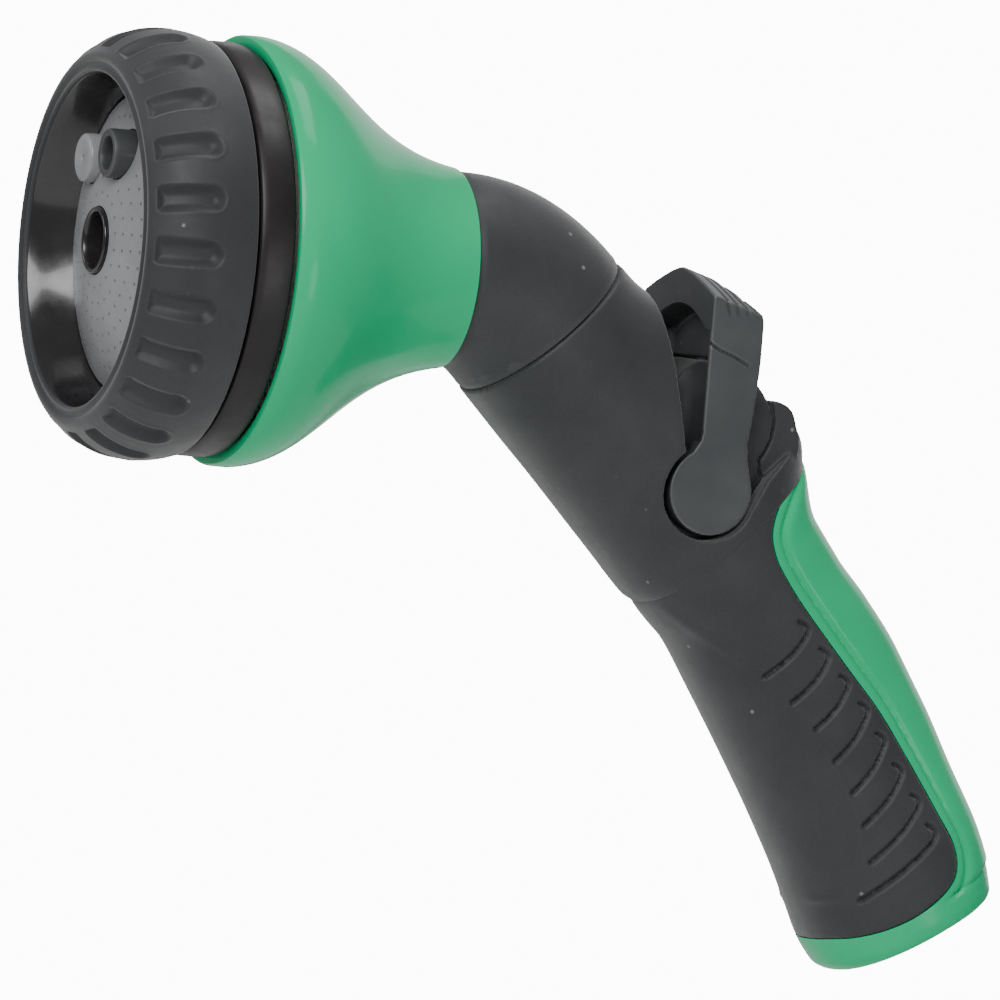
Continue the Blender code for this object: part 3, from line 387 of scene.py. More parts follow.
def lathe(name, profile, place, segments=144):
    """Turn (radius, depth) in mm round the place's Z, depth towards -Z."""
    angles = np.arange(segments) * 2 * math.pi / segments
    rings = [ring_points(place, angles, radius, depth) for radius, depth in profile]
    return skin(name, rings, hollow=profile[0][0] > 0.0)


def bezier_profile(points, steps):
    """One Bezier curve through (radius, depth) control points."""
    ends = [Vector((radius, depth, 0.0)) for radius, depth in points]
    return [(p.x, p.y) for p in interpolate_bezier(*ends, steps)]


def prism(name, outline, half_width):
    """Extrude side-view points (world Y and Z) across X; half_width in mm."""
    mesh = bpy.data.meshes.new(name)
    work = bmesh.new()
    base = [work.verts.new((-half_width * MM, p.y, p.z)) for p in outline]
    grown = bmesh.ops.extrude_face_region(work, geom=[work.faces.new(base)])["geom"]
    lifted = [part for part in grown if isinstance(part, bmesh.types.BMVert)]
    bmesh.ops.translate(work, verts=lifted, vec=(2 * half_width * MM, 0.0, 0.0))
    bmesh.ops.triangulate(work, faces=[face for face in work.faces if len(face.verts) > 4])
    bmesh.ops.recalc_face_normals(work, faces=work.faces)
    work.to_mesh(mesh)
    work.free()
    return link(name, mesh)


def rod(name, start, end, radius, segments=48):
    """Plain cylinder between two points; radius in mm."""
    length = (end - start).length / MM
    profile = [(0.0, 0.0), (radius, 0.0), (radius, length), (0.0, length)]
    return lathe(name, profile, frame_along(start, start - end), segments)


def arc(centre, radius, start, end, steps):
    """Side-view arc about a point, angles in degrees up from +Y; radius in mm."""
    points = []
    for i in range(steps + 1):
        angle = math.radians(start + (end - start) * i / steps)
        points.append(centre + Vector((0.0, math.cos(angle), math.sin(angle))) * radius * MM)
    return points


def evaluated(item):
    """Apply an object's modifiers."""
    bpy.context.view_layer.update()
    graph = bpy.context.evaluated_depsgraph_get()
    mesh = bpy.data.meshes.new_from_object(item.evaluated_get(graph))
    old = item.data
    item.modifiers.clear()
    item.data = mesh
    bpy.data.meshes.remove(old)
    return item


def combine(item, tool, operation='DIFFERENCE'):
    """Cut, join or intersect with a tool, which is used up."""
    change = item.modifiers.new("cut", 'BOOLEAN')
    change.operation = operation
    change.solver = 'EXACT'
    change.object = tool
    evaluated(item)
    bpy.data.objects.remove(tool, do_unlink=True)
    return item


def soften(item, voxel=0.35, passes=3):
    """Even small quads with soft moulded edges."""
    remesh = item.modifiers.new("even", 'REMESH')
    remesh.mode = 'VOXEL'
    remesh.voxel_size = voxel * MM
    smooth = item.modifiers.new("soft", 'SMOOTH')
    smooth.factor = 0.5
    smooth.iterations = passes
    return evaluated(item)


def coordinates(item):
    """Vertex positions as an array of rows."""
    places = np.empty(len(item.data.vertices) * 3, np.float32)
    item.data.vertices.foreach_get("co", places)
    return places.reshape(-1, 3).astype(float)


def move_vertices(item, places):
    item.data.vertices.foreach_set("co", places.astype(np.float32).ravel())
    item.data.update()


def normals(item):
    """Vertex normals as an array of rows."""
    found = np.empty(len(item.data.vertices) * 3, np.float32)
    item.data.vertex_normals.foreach_get("vector", found)
    return found.reshape(-1, 3).astype(float)


def step_curve(value, low, high):
    """Smooth step from 0 at low to 1 at high."""
    share = np.clip((value - low) / (high - low), 0.0, 1.0)
    return share * share * (3 - 2 * share)


def smooth_rows(rows, gap):
    """Monotone cubic through rows whose first column runs on, at about a gap's spacing."""
    rows = np.array(rows, float)
    at = rows[:, 0]
    slopes = np.diff(rows, axis=0) / np.diff(at)[:, None]
    tangents = np.empty_like(rows)
    tangents[0], tangents[-1] = slopes[0], slopes[-1]
    for i in range(1, len(rows) - 1):
        one, two = slopes[i - 1], slopes[i]
        total = np.where(one + two == 0, 1, one + two)
        tangents[i] = np.where(one * two > 0, 2 * one * two / total, 0.0)
    made = []
    for i in range(len(rows) - 1):
        length = at[i + 1] - at[i]
        steps = max(1, int(math.ceil(length / gap)))
        for k in range(steps):
            t = k / steps
            made.append((2 * t ** 3 - 3 * t ** 2 + 1) * rows[i]
                        + (t ** 3 - 2 * t ** 2 + t) * length * tangents[i]
                        + (3 * t ** 2 - 2 * t ** 3) * rows[i + 1]
                        + (t ** 3 - t ** 2) * length * tangents[i + 1])
    made.append(rows[-1])
    return made


def section(centre, tilt, front, back, half_width, inset=0.0, count=112, power=2.25):
    """Rounded cross-section square to an axis tilted below backward; sizes in mm."""
    angles = np.arange(count) * 2 * math.pi / count
    across, lift = np.cos(angles), np.sin(angles)
    reach = np.where(lift > 0, back - inset, front - inset)
    x = np.sign(across) * np.abs(across) ** (2 / power) * (half_width - inset) * MM
    rise = np.sign(lift) * np.abs(lift) ** (2 / power) * reach * MM
    y, z = centre[1] + rise * math.sin(tilt), centre[2] + rise * math.cos(tilt)
    return np.stack([x + centre[0], y, z], 1)


def spline_points(points, steps=8):
    """Catmull-Rom through 2-D points."""
    points = [np.array(p, float) for p in points]
    ends = [points[0], *points, points[-1]]
    made = []
    for i in range(1, len(ends) - 2):
        before, here, there, after = ends[i - 1:i + 3]
        for step in range(steps):
            t = step / steps
            bend = 2 * before - 5 * here + 4 * there - after
            twist = 3 * here - before - 3 * there + after
            made.append(0.5 * (2 * here + (there - before) * t + bend * t ** 2 + twist * t ** 3))
    made.append(points[-1])
    return np.array(made)


def path_distance(points, path):
    """Distance from 2-D points to a polyline, and the side: positive to its left."""
    best = np.full(len(points), 1e9)
    side = np.zeros(len(points))
    for a, b in zip(path[:-1], path[1:]):
        run = b - a
        t = np.clip(((points - a) @ run) / (run @ run), 0.0, 1.0)
        offset = points - a - t[:, None] * run
        distance = np.hypot(offset[:, 0], offset[:, 1])
        turn = run[0] * offset[:, 1] - run[1] * offset[:, 0]
        closer = distance < best
        best[closer] = distance[closer]
        side[closer] = np.sign(turn[closer])
    return best, side


def finish_piece(item, name, body, slot, *nodes, angle=40.0):
    """Name, shade, paint and attach one visible piece."""
    item.name = name
    item.data.name = name
    item.data.materials.clear()
    item.data.materials.append(MATERIALS[slot])
    item.data.shade_smooth()
    item.data.set_sharp_from_angle(angle=math.radians(angle))
    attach(item, body)
    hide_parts(*nodes)
    return item


# -------------------------------------------------------------------------------------- dial

def groove_cut(across, at):
    """Depth of a finger groove: square at the front, round at the back, with a faint raised lip."""
    half, front, back, depth, corner = 2.35, 0.35, 11.6, 1.55, 0.8
    round_end = np.hypot(across, max(at - (back - half), 0.0)) - half
    dx, dy = across - (half - corner), front + corner - at
    square_end = np.hypot(np.maximum(dx, 0), max(dy, 0)) + np.minimum(np.maximum(dx, dy), 0) - corner
    distance = round_end if at > back - half else square_end
    floor = depth * (1 - step_curve(distance, -1.7, 0.15)) ** 0.6
    return floor - 0.08 * np.exp(-((distance - 0.4) / 0.3) ** 2)


def grip_ring():
    """Rubber bezel: a crowned barrel, scooped finger grooves and a double-lipped front rim."""
    barrel = bezier_profile([(33.4, -0.35), (38.05, 3.9), (39.5, 11.4), (36.9, 18.2)], 72)
    rim = [(29.6, 1.9), (29.6, -0.25), (29.75, -0.6), (30.0, -0.72), (30.25, -0.6), (30.45, -0.3),
           (31.3, -0.25), (31.55, -0.55), (31.95, -0.76), (32.6, -0.74), (33.1, -0.58)]
    profile = rim + barrel + [(36.6, 18.3), (31.3, 18.3), (31.0, 18.0), (31.0, 2.4), (30.8, 2.0)]
    pitch = 360.0 / GROOVES
    offsets = [0.0, 0.8, 1.5, 2.1, 2.6, 3.0, 3.3, 3.55, 3.8, 4.1, 4.5, 5.4, 6.5]
    degrees = sorted([-o for o in offsets[1:]] + offsets + [pitch / 2])
    angles = np.radians([pitch * (i + 0.5) + GROOVE_TURN + o for i in range(GROOVES) for o in degrees])
    local = np.radians(np.array(degrees * GROOVES))
    rings = []
    for radius, at in profile:
        grooved = radius > 33.2 and 0.0 < at < 14.0
        cut = groove_cut(np.abs(local) * radius, at) if grooved else np.zeros(len(angles))
        rings.append(ring_points(HEAD_FRAME, angles, radius - cut, at))
    item = skin("grip", rings, hollow=True)
    return finish_piece(item, "dial_grip", "dial", "soft_black", "dial_grip_ring", angle=60.0)


def dome_depth(radius):
    """Depth of the domed face at a radius from its centre."""
    return FACE_TOP + DOME_SPHERE - math.sqrt(DOME_SPHERE ** 2 - radius ** 2)


def outlet_centre(index, depth=0.0):
    """Axis of the jet tube (0) or the capped outlet (1) at a depth."""
    angle = math.radians(17.0 - 45.0 * index)
    return head_point(depth, OUTLET_CIRCLE * math.cos(angle), OUTLET_CIRCLE * math.sin(angle))


def cup_wall():
    """Glossy wall that slopes in to the face, with a small step where they meet."""
    profile = [(29.5, -0.2), (29.3, 0.2), (28.6, 2.2), (28.3, 3.2), (26.9, 7.2), (26.6, 7.9), (26.6, 10.9),
               (25.0, 11.0), (25.0, 13.6), (28.3, 13.6), (28.3, 17.8), (30.6, 17.8), (30.6, 2.4),
               (29.55, 1.0)]
    item = lathe("cup", rounded(profile, 0.35), HEAD_FRAME, 192)
    return finish_piece(item, "dial_cup_wall", "dial", "gloss_black", "dial_cup")


def shower_holes():
    """One tool with every blind shower hole, clear of the two outlets."""
    work = bmesh.new()
    first_ring, ring_pitch, last_ring, outlet_room = 8.4, 2.77, 25.3, 6.3
    for row, count in enumerate(range(18, 60, 6)):
        radius = first_ring + ring_pitch * row
        for k in range(count):
            angle = 2 * math.pi * (k + 0.5 * (row % 2)) / count
            up, x = radius * math.cos(angle), radius * math.sin(angle)
            gaps = [(head_point(0.0, up, x) - outlet_centre(i)).length / MM for i in range(2)]
            if radius > last_ring or min(gaps) <= outlet_room:
                continue
            centre = head_point(dome_depth(radius) + 0.15, up, x)
            place = frame_along(centre, Vector((0.0, -1.0, 0.0)))
            bmesh.ops.create_cone(work, cap_ends=True, segments=8, radius1=0.28 * MM, radius2=0.36 * MM,
                                  depth=1.5 * MM, matrix=place)
    mesh = bpy.data.meshes.new("shower_holes")
    work.to_mesh(mesh)
    work.free()
    return link("shower_holes", mesh)


def spray_plate():
    """Domed face, with rings of shower holes and openings for the throat and two outlets."""
    opening, wall, rows = 6.1, 2.0, 26
    radii = [opening + (FACE_RADIUS - 0.15 - opening) * i / rows for i in range(rows + 1)]
    profile = [(r, dome_depth(r)) for r in radii] + [(26.2, 10.6), (24.6, 10.6)]
    profile += [(min(r, 24.4), dome_depth(min(r, 24.4)) + wall) for r in reversed(radii[::6])]
    item = lathe("face", profile, HEAD_FRAME, 160)
    for index in range(2):
        combine(item, rod("bore", outlet_centre(index, -5.0), outlet_centre(index, 20.0), 4.62, 64))
    combine(item, shower_holes())
    finish_piece(item, "shower_face", "dial", "face_grey", "spray_face", angle=35.0)
    dome_shading(item)


def dome_shading(item):
    """Exact sphere normals on the dome, so the cuts leave no marks in the shading."""
    mesh = item.data
    centre = head_point(FACE_TOP + DOME_SPHERE)
    loops = [Vector((0.0, 0.0, 0.0))] * len(mesh.loops)
    for face in mesh.polygons:
        for loop in face.loop_indices:
            away = mesh.vertices[mesh.loops[loop].vertex_index].co - centre
            on_sphere = abs(away.length - DOME_SPHERE * MM) < 0.02 * MM
            on_dome = on_sphere and face.normal.dot(away.normalized()) > 0.94
            loops[loop] = away.normalized() if on_dome else face.normal.copy()
    mesh.normals_split_custom_set(loops)


def dial_details():
    """Throat, jet tube and capped outlet."""
    forward = Vector((0.0, -1.0, 0.0))
    throat = [(4.9, 2.1), (5.1, 1.3), (5.5, 1.05), (5.9, 1.25), (5.9, 11.0), (2.9, 11.0), (2.9, 9.4),
              (4.6, 9.4)]
    item = lathe("throat", rounded(throat, 0.25), HEAD_FRAME, 96)
    finish_piece(item, "throat_insert", "dial", "gloss_black", "centre_throat")
    jet = [(2.9, 1.4), (3.1, 0.6), (4.25, 0.6), (4.4, 1.6), (4.4, 14.2), (2.0, 14.2), (2.0, 12.0),
           (2.9, 10.5)]
    item = lathe("jet", rounded(jet, 0.3), frame_along(outlet_centre(0), forward), 72)
    finish_piece(item, "jet_outlet", "dial", "lever_grey", "jet_tube")
    cone = [(0.55, 1.0), (0.75, 0.75), (3.5, 0.6), (4.25, 0.95), (4.35, 1.8), (4.35, 14.2), (2.0, 14.2),
            (2.0, 3.0), (0.55, 2.2)]
    item = lathe("cone", rounded(cone, 0.25), frame_along(outlet_centre(1), forward), 72)
    finish_piece(item, "capped_outlet", "dial", "face_grey", "cone_outlet")


# -------------------------------------------------------------------------------------- head

def collar_band():
    """Plain dull band between the dial and the bell."""
    profile = [(31.6, 18.9), (36.3, 18.9), (36.7, 20.0), (36.75, 23.0), (36.5, 25.5), (31.6, 25.5)]
    item = lathe("collar", rounded(profile, 0.6, 6), HEAD_FRAME, 192)
    finish_piece(item, "collar_band", "root", "gloss_black", "head_collar")
    item.data.materials[0] = satin_black()


def bell():
    """Flared green shell, open at both ends."""
    wall = 2.5
    outside = bezier_profile([(38.2, 29.0), (37.1, 42.0), (21.4, 47.5), (17.9, 67.5)], 64)
    inside = bezier_profile([(17.7, 67.5), (21.0, 47.3), (37.0, 41.6), (38.2, 29.0)], 32)
    profile = [(36.9, 25.8), (37.75, 25.95), (38.15, 26.5), *outside, (17.4, 67.8), (15.2, 67.8)]
    profile += [(radius - wall, depth) for radius, depth in inside[1:]] + [(35.7, 26.2)]
    finish_piece(lathe("bell", profile, HEAD_FRAME, 224), "bell_shell", "root", "green", "head_shell")


def neck():
    """Bent tube from the bell to the body, growing a little on its way."""
    radius, growth, wall = 17.2, 0.038, 3.0
    start, corner, end = head_point(68.05), head_point(86.6 - 8.8), body_point(-0.15)
    first, last = start + Vector((0.0, MM, 0.0)), end - BODY_AXIS * MM
    bend = interpolate_bezier(first, first.lerp(corner, 2 / 3), last.lerp(corner, 2 / 3), last, 48)
    path = [start, *bend, end]
    final = len(path) - 1
    round_over = {0: 0.35, final: 0.3}
    outer, inner = [], []
    for i, centre in enumerate(path):
        if i < 2:
            direction = Vector((0.0, 1.0, 0.0))
        elif i >= final - 1:
            direction = BODY_AXIS
        else:
            direction = path[i + 1] - path[i - 1]
        tilt = math.atan2(-direction.z, direction.y)
        reach = radius * (1 + growth * i / final)
        for rings, size in ((outer, reach - round_over.get(i, 0.0)), (inner, reach - wall)):
            rings.append(section(centre, tilt, size, size, size, count=128, power=2.0))
    item = skin("neck", outer + inner[::-1], hollow=True)
    finish_piece(item, "neck_bend", "root", "soft_black", "neck_elbow")


# -------------------------------------------------------------------------------------- body

# Body sections: distance along the axis, then reach below, above and sideways.
BODY_ROWS = ((0.15, 17.5, 17.4, 17.4), (0.5, 17.8, 17.7, 17.65), (4.0, 17.8, 17.9, 17.7),
             (8.0, 17.8, 18.7, 17.7), (12.0, 17.8, 19.8, 17.7), (20.0, 17.7, 21.8, 17.7),
             (32.0, 17.8, 23.8, 17.8), (41.0, 17.9, 24.5, 17.8), (45.0, 18.0, 24.8, 17.8),
             (47.0, 18.0, 24.2, 17.8), (48.6, 17.9, 23.0, 17.8), (49.85, 17.5, 21.9, 17.8),
             (50.4, 17.3, 21.7, 17.75))
# Guard behind the housing, as (along, lift): its rounded top, then two corners inside the casing.
GUARD = [(35.4, 20.6), (36.2, 22.0), (37.4, 22.9), (39.0, 23.5), (40.7, 23.4), (43.0, 22.3), (45.4, 20.9),
         (46.6, 19.4), (47.4, 16.0), (47.4, 6.0), (35.4, 6.0)]
HUMP_CENTRE = PIVOT + Vector((0.0, 2.1, 12.7)) * MM


def front_wall_point(drop):
    """On the lever pocket's leaning front wall, a distance below the head's axis."""
    return head_point(104.6 + 0.175 * drop, -drop)


def pocket_outline():
    """Side view of the lever's pocket: leaning front wall, round hub recess, rear wall."""
    shoulder = front_wall_point(28.5)
    centre = PIVOT + Vector((0.0, -0.5, -0.2)) * MM
    rise = math.degrees(math.atan2(shoulder.z - centre.z, shoulder.y - centre.y))
    recess = arc(centre, HUB_RECESS - 0.45, rise, 340.0, 36)
    rear = [body_point(REAR_WALL + 1.0, 7.2), body_point(REAR_WALL, 11.0), body_point(REAR_WALL, 60.0)]
    return [front_wall_point(-20.0), shoulder, *recess, *rear]


def housing_outline(grow=0.0):
    """Side view of the valve housing: a round hump on a block square to the body axis."""
    radius, front = 10.5 + grow, 22.0 - grow
    ahead = front - (HUMP_CENTRE - SEAM).dot(BODY_AXIS) / MM
    meeting = math.atan2(-math.sqrt(radius ** 2 - ahead ** 2), ahead) - BODY_TILT
    top, bottom, rear = 11.2 + grow, -10.0 - grow, 49.5 + grow
    crown = arc(HUMP_CENTRE, radius, 360.0 + math.degrees(meeting), -38.0, 48)
    return [*crown, body_point(REAR_WALL - 0.6 + grow, top), body_point(rear, top),
            body_point(rear, bottom), body_point(front, bottom)]


def casing():
    """Rubber-skinned valve body with its lever pocket and the guard behind it."""
    rows = smooth_rows(BODY_ROWS, 0.8)
    rings = [section(body_point(along), BODY_TILT, *sizes, power=2.2) for along, *sizes in rows]
    item = skin("casing", rings)
    combine(item, prism("pocket", pocket_outline(), 24.0))
    outline = [body_point(a, e) for a, e in (*spline_points(GUARD[:-2], 5), *GUARD[-2:])]
    combine(item, prism("guard", outline, HUMP_HALF_WIDTH), 'UNION')
    combine(item, prism("room", housing_outline(0.35), HUMP_HALF_WIDTH + 0.35))
    combine(item, rod("bore", body_point(-2.0), body_point(12.0), 13.0))
    combine(item, rod("passage", body_point(10.0, 1.3), body_point(25.5, 1.3), 9.0))
    soften(item, 0.38, 4)
    return finish_piece(item, "valve_casing", "root", "soft_black", "body_shell", angle=60.0)


def hump():
    """Rounded valve housing between the lever's arms."""
    pivot_frame = frame_along(PIVOT, Vector((1.0, 0.0, 0.0)))
    item = prism("hump", housing_outline(), HUMP_HALF_WIDTH + 1.0)
    reach, corner = 23.4, 7.0
    flat = HUMP_HALF_WIDTH - corner
    profile = [(0.0, -HUMP_HALF_WIDTH)]
    for side, angles in ((-1, range(90, 10, -10)), (1, range(15, 95, 10))):
        for angle in angles:
            profile.append((reach - corner + corner * math.cos(math.radians(angle)),
                            side * (flat + corner * math.sin(math.radians(angle)))))
    profile.append((0.0, HUMP_HALF_WIDTH))
    combine(item, lathe("barrel", profile, pivot_frame, 128), 'INTERSECT')
    bore = [(0.0, 0.0), (8.3, 0.0), (8.3, 4.6), (6.3, 4.6), (6.3, 6.5), (4.2, 6.5), (4.2, 10.0), (8.5, 10.0),
            (8.5, 30.0), (0.0, 30.0)]
    combine(item, lathe("bore", bore, frame_along(body_point(21.0, 1.3), -BODY_AXIS), 60))
    stem = [(0.0, -13.5), (5.1, -13.5), (5.1, -9.4), (3.4, -9.4)]
    stem += [(radius, -depth) for radius, depth in reversed(stem)]
    combine(item, lathe("stem", stem, pivot_frame, 60))
    soften(item, 0.42, 4)
    return finish_piece(item, "valve_hump", "root", "soft_black", "valve_housing", angle=60.0)


# ------------------------------------------------------------------------------------- lever

def lever_outline():
    """Side view of the yoke: hub, concave corner, straight arm and the overhanging pad."""
    front, back, pad = -2.4, 6.3, 7.6
    hub_top = math.degrees(math.acos((front - 0.6) / HUB_RADIUS))
    tail = math.degrees(math.acos((back + 0.3) / HUB_RADIUS))
    start = [(front, 46.0), (front, 10.2), (front - 0.15, 9.0)]
    rest = [(back + 0.25, 6.0), (back, 9.0), (back + 0.5, 13.0), (back + 0.95, 18.0), (pad, 24.0),
            (pad, 30.2), (pad - 0.25, 31.6), (pad - 0.9, 32.9), (pad - 1.8, 34.2), (pad - 2.8, 35.5),
            (pad - 4.0, 36.9), (pad - 5.2, 46.0)]
    hub = arc(PIVOT, HUB_RADIUS, hub_top + 8.0, 360.0 + tail - 14.0, 60)
    before, after = ([PIVOT + Vector((0.0, y, z)) * MM for y, z in part] for part in (start, rest))
    return [*before, *hub, *after]


def lever_arch():
    """Front view: crowned on top and arched below, as (x, height above the pivot)."""
    outline = []
    for i in range(33):
        share = 2.0 * i / 32 - 1.0
        outline.append((share * ARM_OUTER, 35.0 + 4.6 * (1 - abs(share) ** 1.35)))
    outline += [(ARM_OUTER, -12.0), (ARM_INNER, -12.0)]
    for i in range(33):
        x = ARM_INNER * (1.0 - 2.0 * i / 32)
        outline.append((x, 33.2 - 6.3 * (abs(x) / 16.3) ** 1.9))
    outline += [(-ARM_INNER, -12.0), (-ARM_OUTER, -12.0)]
    return outline


def thumb_lever():
    """U-shaped yoke with a ribbed thumb pad, worked from a solid and softened."""
    item = prism("lever", lever_outline(), ARM_OUTER + 2.0)
    slope = math.tan(math.radians(17.0))
    rings = []
    for reach in (-14.0, 16.0):
        start = PIVOT + Vector((0.0, -3.0 + reach, -slope * reach)) * MM
        rings.append([start + Vector((x, 0.0, height)) * MM for x, height in lever_arch()])
    combine(item, skin("arch", rings), 'INTERSECT')
    for side in (-1, 1):
        points = [(ARM_OUTER - 1.0, -2.6), (ARM_INNER - 1.0, -2.6), (ARM_INNER - 1.0, 2.4), (ARM_INNER, 2.0)]
        low, high = 8.4, 28.6
        rings = [[PIVOT + Vector((side * x, y, z)) * MM for x, y in points] for z in (low, high)]
        combine(item, skin("taper", rings))
    hood = arc(PIVOT, 23.65, 84.0, 71.5, 8)
    hood += [PIVOT + Vector((0.0, y, z)) * MM for y, z in ((7.3, 29.0), (7.3, 32.0), (2.5, 34.0))]
    combine(item, prism("hood", hood, ARM_INNER + 1.0), 'UNION')
    flat = 2.4
    square = [PIVOT + Vector((0.0, y * flat, z * flat)) * MM for y, z in ((-1, -1), (1, -1), (1, 1), (-1, 1))]
    combine(item, prism("square", square, 15.8))
    soften(item, 0.26, 5)
    carve_lever(item)
    return finish_piece(item, "yoke_lever", "lever", "lever_grey", "thumb_lever", angle=55.0)


def carve_lever(item):
    """Thumb ribs over the rear of the pad and a fine line across each arm."""
    places = coordinates(item)
    facing = normals(item)
    local = (places - np.array(PIVOT)) / MM
    across, along, height = local[:, 0], local[:, 1], local[:, 2]
    top = step_curve(height, 29.5, 32.0) * step_curve(facing[:, 2], 0.15, 0.5)
    side = step_curve(np.abs(across), 14.8, 16.2) * step_curve(height, 31.0, 32.8)
    lean = along - 0.35 * np.maximum(34.0 - height, 0.0)
    phase = (lean - 0.2) / 1.75
    stroke = 1 - step_curve(np.abs(phase - np.round(phase)) * 1.75, 0.12, 0.42)
    band = step_curve(lean, -0.8, -0.3) * (1 - step_curve(lean, 6.0, 6.4))
    ribs = 0.32 * stroke * band * np.maximum(top, side)
    places -= facing * (ribs * MM)[:, None]
    line = np.array([(-3.1, 26.6), (-0.5, 25.2), (2.2, 24.2), (5.2, 22.8)])
    distance, _ = path_distance(np.stack([along, height], 1), spline_points(line, 5))
    cut = 0.40 * (1 - step_curve(distance, 0.08, 0.34)) * (np.abs(across) > 15.6)
    places -= facing * (cut * MM)[:, None]
    move_vertices(item, places)


# ------------------------------------------------------------------------------------ handle

# Handle sections: depth from the inlet, then reach in front, behind and sideways.
HANDLE_STATIONS = ((66.0, 17.1, 16.5, 17.3), (57.0, 16.9, 18.1, 17.2), (46.0, 16.8, 19.2, 17.1),
                   (35.0, 16.9, 19.2, 17.0), (22.0, 17.4, 18.5, 17.4), (13.0, 18.3, 18.2, 17.7),
                   (6.0, 19.0, 17.2, 18.0), (1.6, 18.6, 15.8, 17.9), (-0.3, 17.5, 15.1, 17.5),
                   (-0.8, 16.7, 14.7, 16.9))
# Edge of the grip panel in side view, as (lift, depth).
PANEL_EDGE = [(-24.0, 7.9), (-18.5, 6.8), (-14.6, 5.5), (-9.6, 4.6), (-3.6, 4.4), (2.6, 5.4), (6.6, 7.6),
              (8.6, 12.0), (8.5, 18.4), (7.9, 30.0), (7.0, 40.2), (5.0, 50.5), (2.8, 62.9), (2.0, 69.5),
              (2.0, 74.0), (3.4, 78.2), (7.0, 81.6), (14.5, 86.0)]


def handle_rings(inset=0.0, gap=0.7, extend=0.0, count=112):
    """Dense sections from the body's rear face to the inlet end."""
    top, upper = body_point(BODY_LENGTH + 0.15 - extend), handle_point(66.0)
    middle = top.lerp(upper, 0.55)
    rows = [(top, BODY_TILT, 17.1, 21.6, 17.65), (middle, (BODY_TILT + HANDLE_TILT) / 2, 17.1, 17.0, 17.6)]
    last = HANDLE_STATIONS[-1][0]
    rows += [(handle_point(depth - (extend if depth == last else 0.0)), HANDLE_TILT, *sizes)
             for depth, *sizes in HANDLE_STATIONS]
    table, run = [], 0.0
    for i, (centre, tilt, *sizes) in enumerate(rows):
        run += (centre - rows[i - 1][0]).length / MM if i else 0.0
        table.append((run, centre.y, centre.z, tilt, *sizes))
    return [section((0.0, y, z), tilt, front, back, half, inset, count)
            for _, y, z, tilt, front, back, half in smooth_rows(table, gap)]


def panel_outline(grow=0.0):
    """Side view of everything the panel covers, moved out towards the green by grow."""
    edge = spline_points(PANEL_EDGE, 8)
    outline = [handle_point(depth - grow * 0.7, lift + grow * 0.7) for lift, depth in edge]
    return [*outline, handle_point(110.0, 14.0), handle_point(110.0, -40.0), handle_point(7.9 - grow, -40.0)]


def side_plane(places):
    """Handle coordinates of points: lift and depth in mm."""
    return np.stack([places @ np.array(HANDLE_BACK), -places @ np.array(HANDLE_AXIS)], 1) / MM


def green_core():
    """Glossy core: border and raised pad along the back, and the base round the inlet."""
    item = skin("core", handle_rings(0.0, 0.4, 0.0, 320))
    places, facing = coordinates(item), normals(item)
    flat = side_plane(places)
    distance, side = path_distance(flat, spline_points(PANEL_EDGE, 8))
    distance = distance * np.where(side > 0, -1.0, 1.0)
    crease = 0.55 * np.exp(-((distance - 2.3) / 0.55) ** 2)
    pad = 0.30 * step_curve(distance, 2.5, 4.2)
    strip = step_curve(flat[:, 1], 3.2, 4.6)
    rise = (pad - crease) * strip * (flat[:, 0] > 0.0)
    notch = 0.45 * np.exp(-((flat[:, 1] - 4.1) / 0.45) ** 2) * step_curve(flat[:, 0], 1.0, 5.0)
    places += facing * ((rise - notch) * MM)[:, None]
    move_vertices(item, places)
    recess = prism("recess", panel_outline(0.16), 25.0)
    combine(recess, skin("floor", handle_rings(2.8, 2.0, 2.0)))
    combine(item, recess)
    combine(item, skin("hollow", handle_rings(5.2, 2.5, 2.0)))
    combine(item, rod("socket", handle_point(-3.0), handle_point(18.3), 15.3, 96))
    return finish_piece(item, "handle_green", "root", "green", "handle_core", angle=32.0)


def rib_paths():
    """Hooked finger grooves as (lift, depth) lines."""
    right = ((1.6, 59.2), (2.9, 53.0), (4.1, 46.8), (5.2, 40.6), (5.6, 34.2), (5.9, 27.8), (6.3, 21.4),
             (6.4, 15.1))
    left = ((-9.1, 55.9), (-6.8, 49.5), (-5.2, 43.2), (-4.7, 36.3), (-4.4, 29.7), (-5.2, 23.5), (-6.9, 17.0),
            (-11.3, 11.5))
    paths = []
    for (lift, depth), (low, deep) in zip(right, left):
        middle = ((lift + low) / 2, (depth + deep) / 2 - 0.5)
        paths.append(spline_points([(lift - 0.9, depth + 2.6), (lift, depth + 0.9), (lift - 1.5, depth - 0.6),
                                    middle, (low, deep)], 6))
    return paths


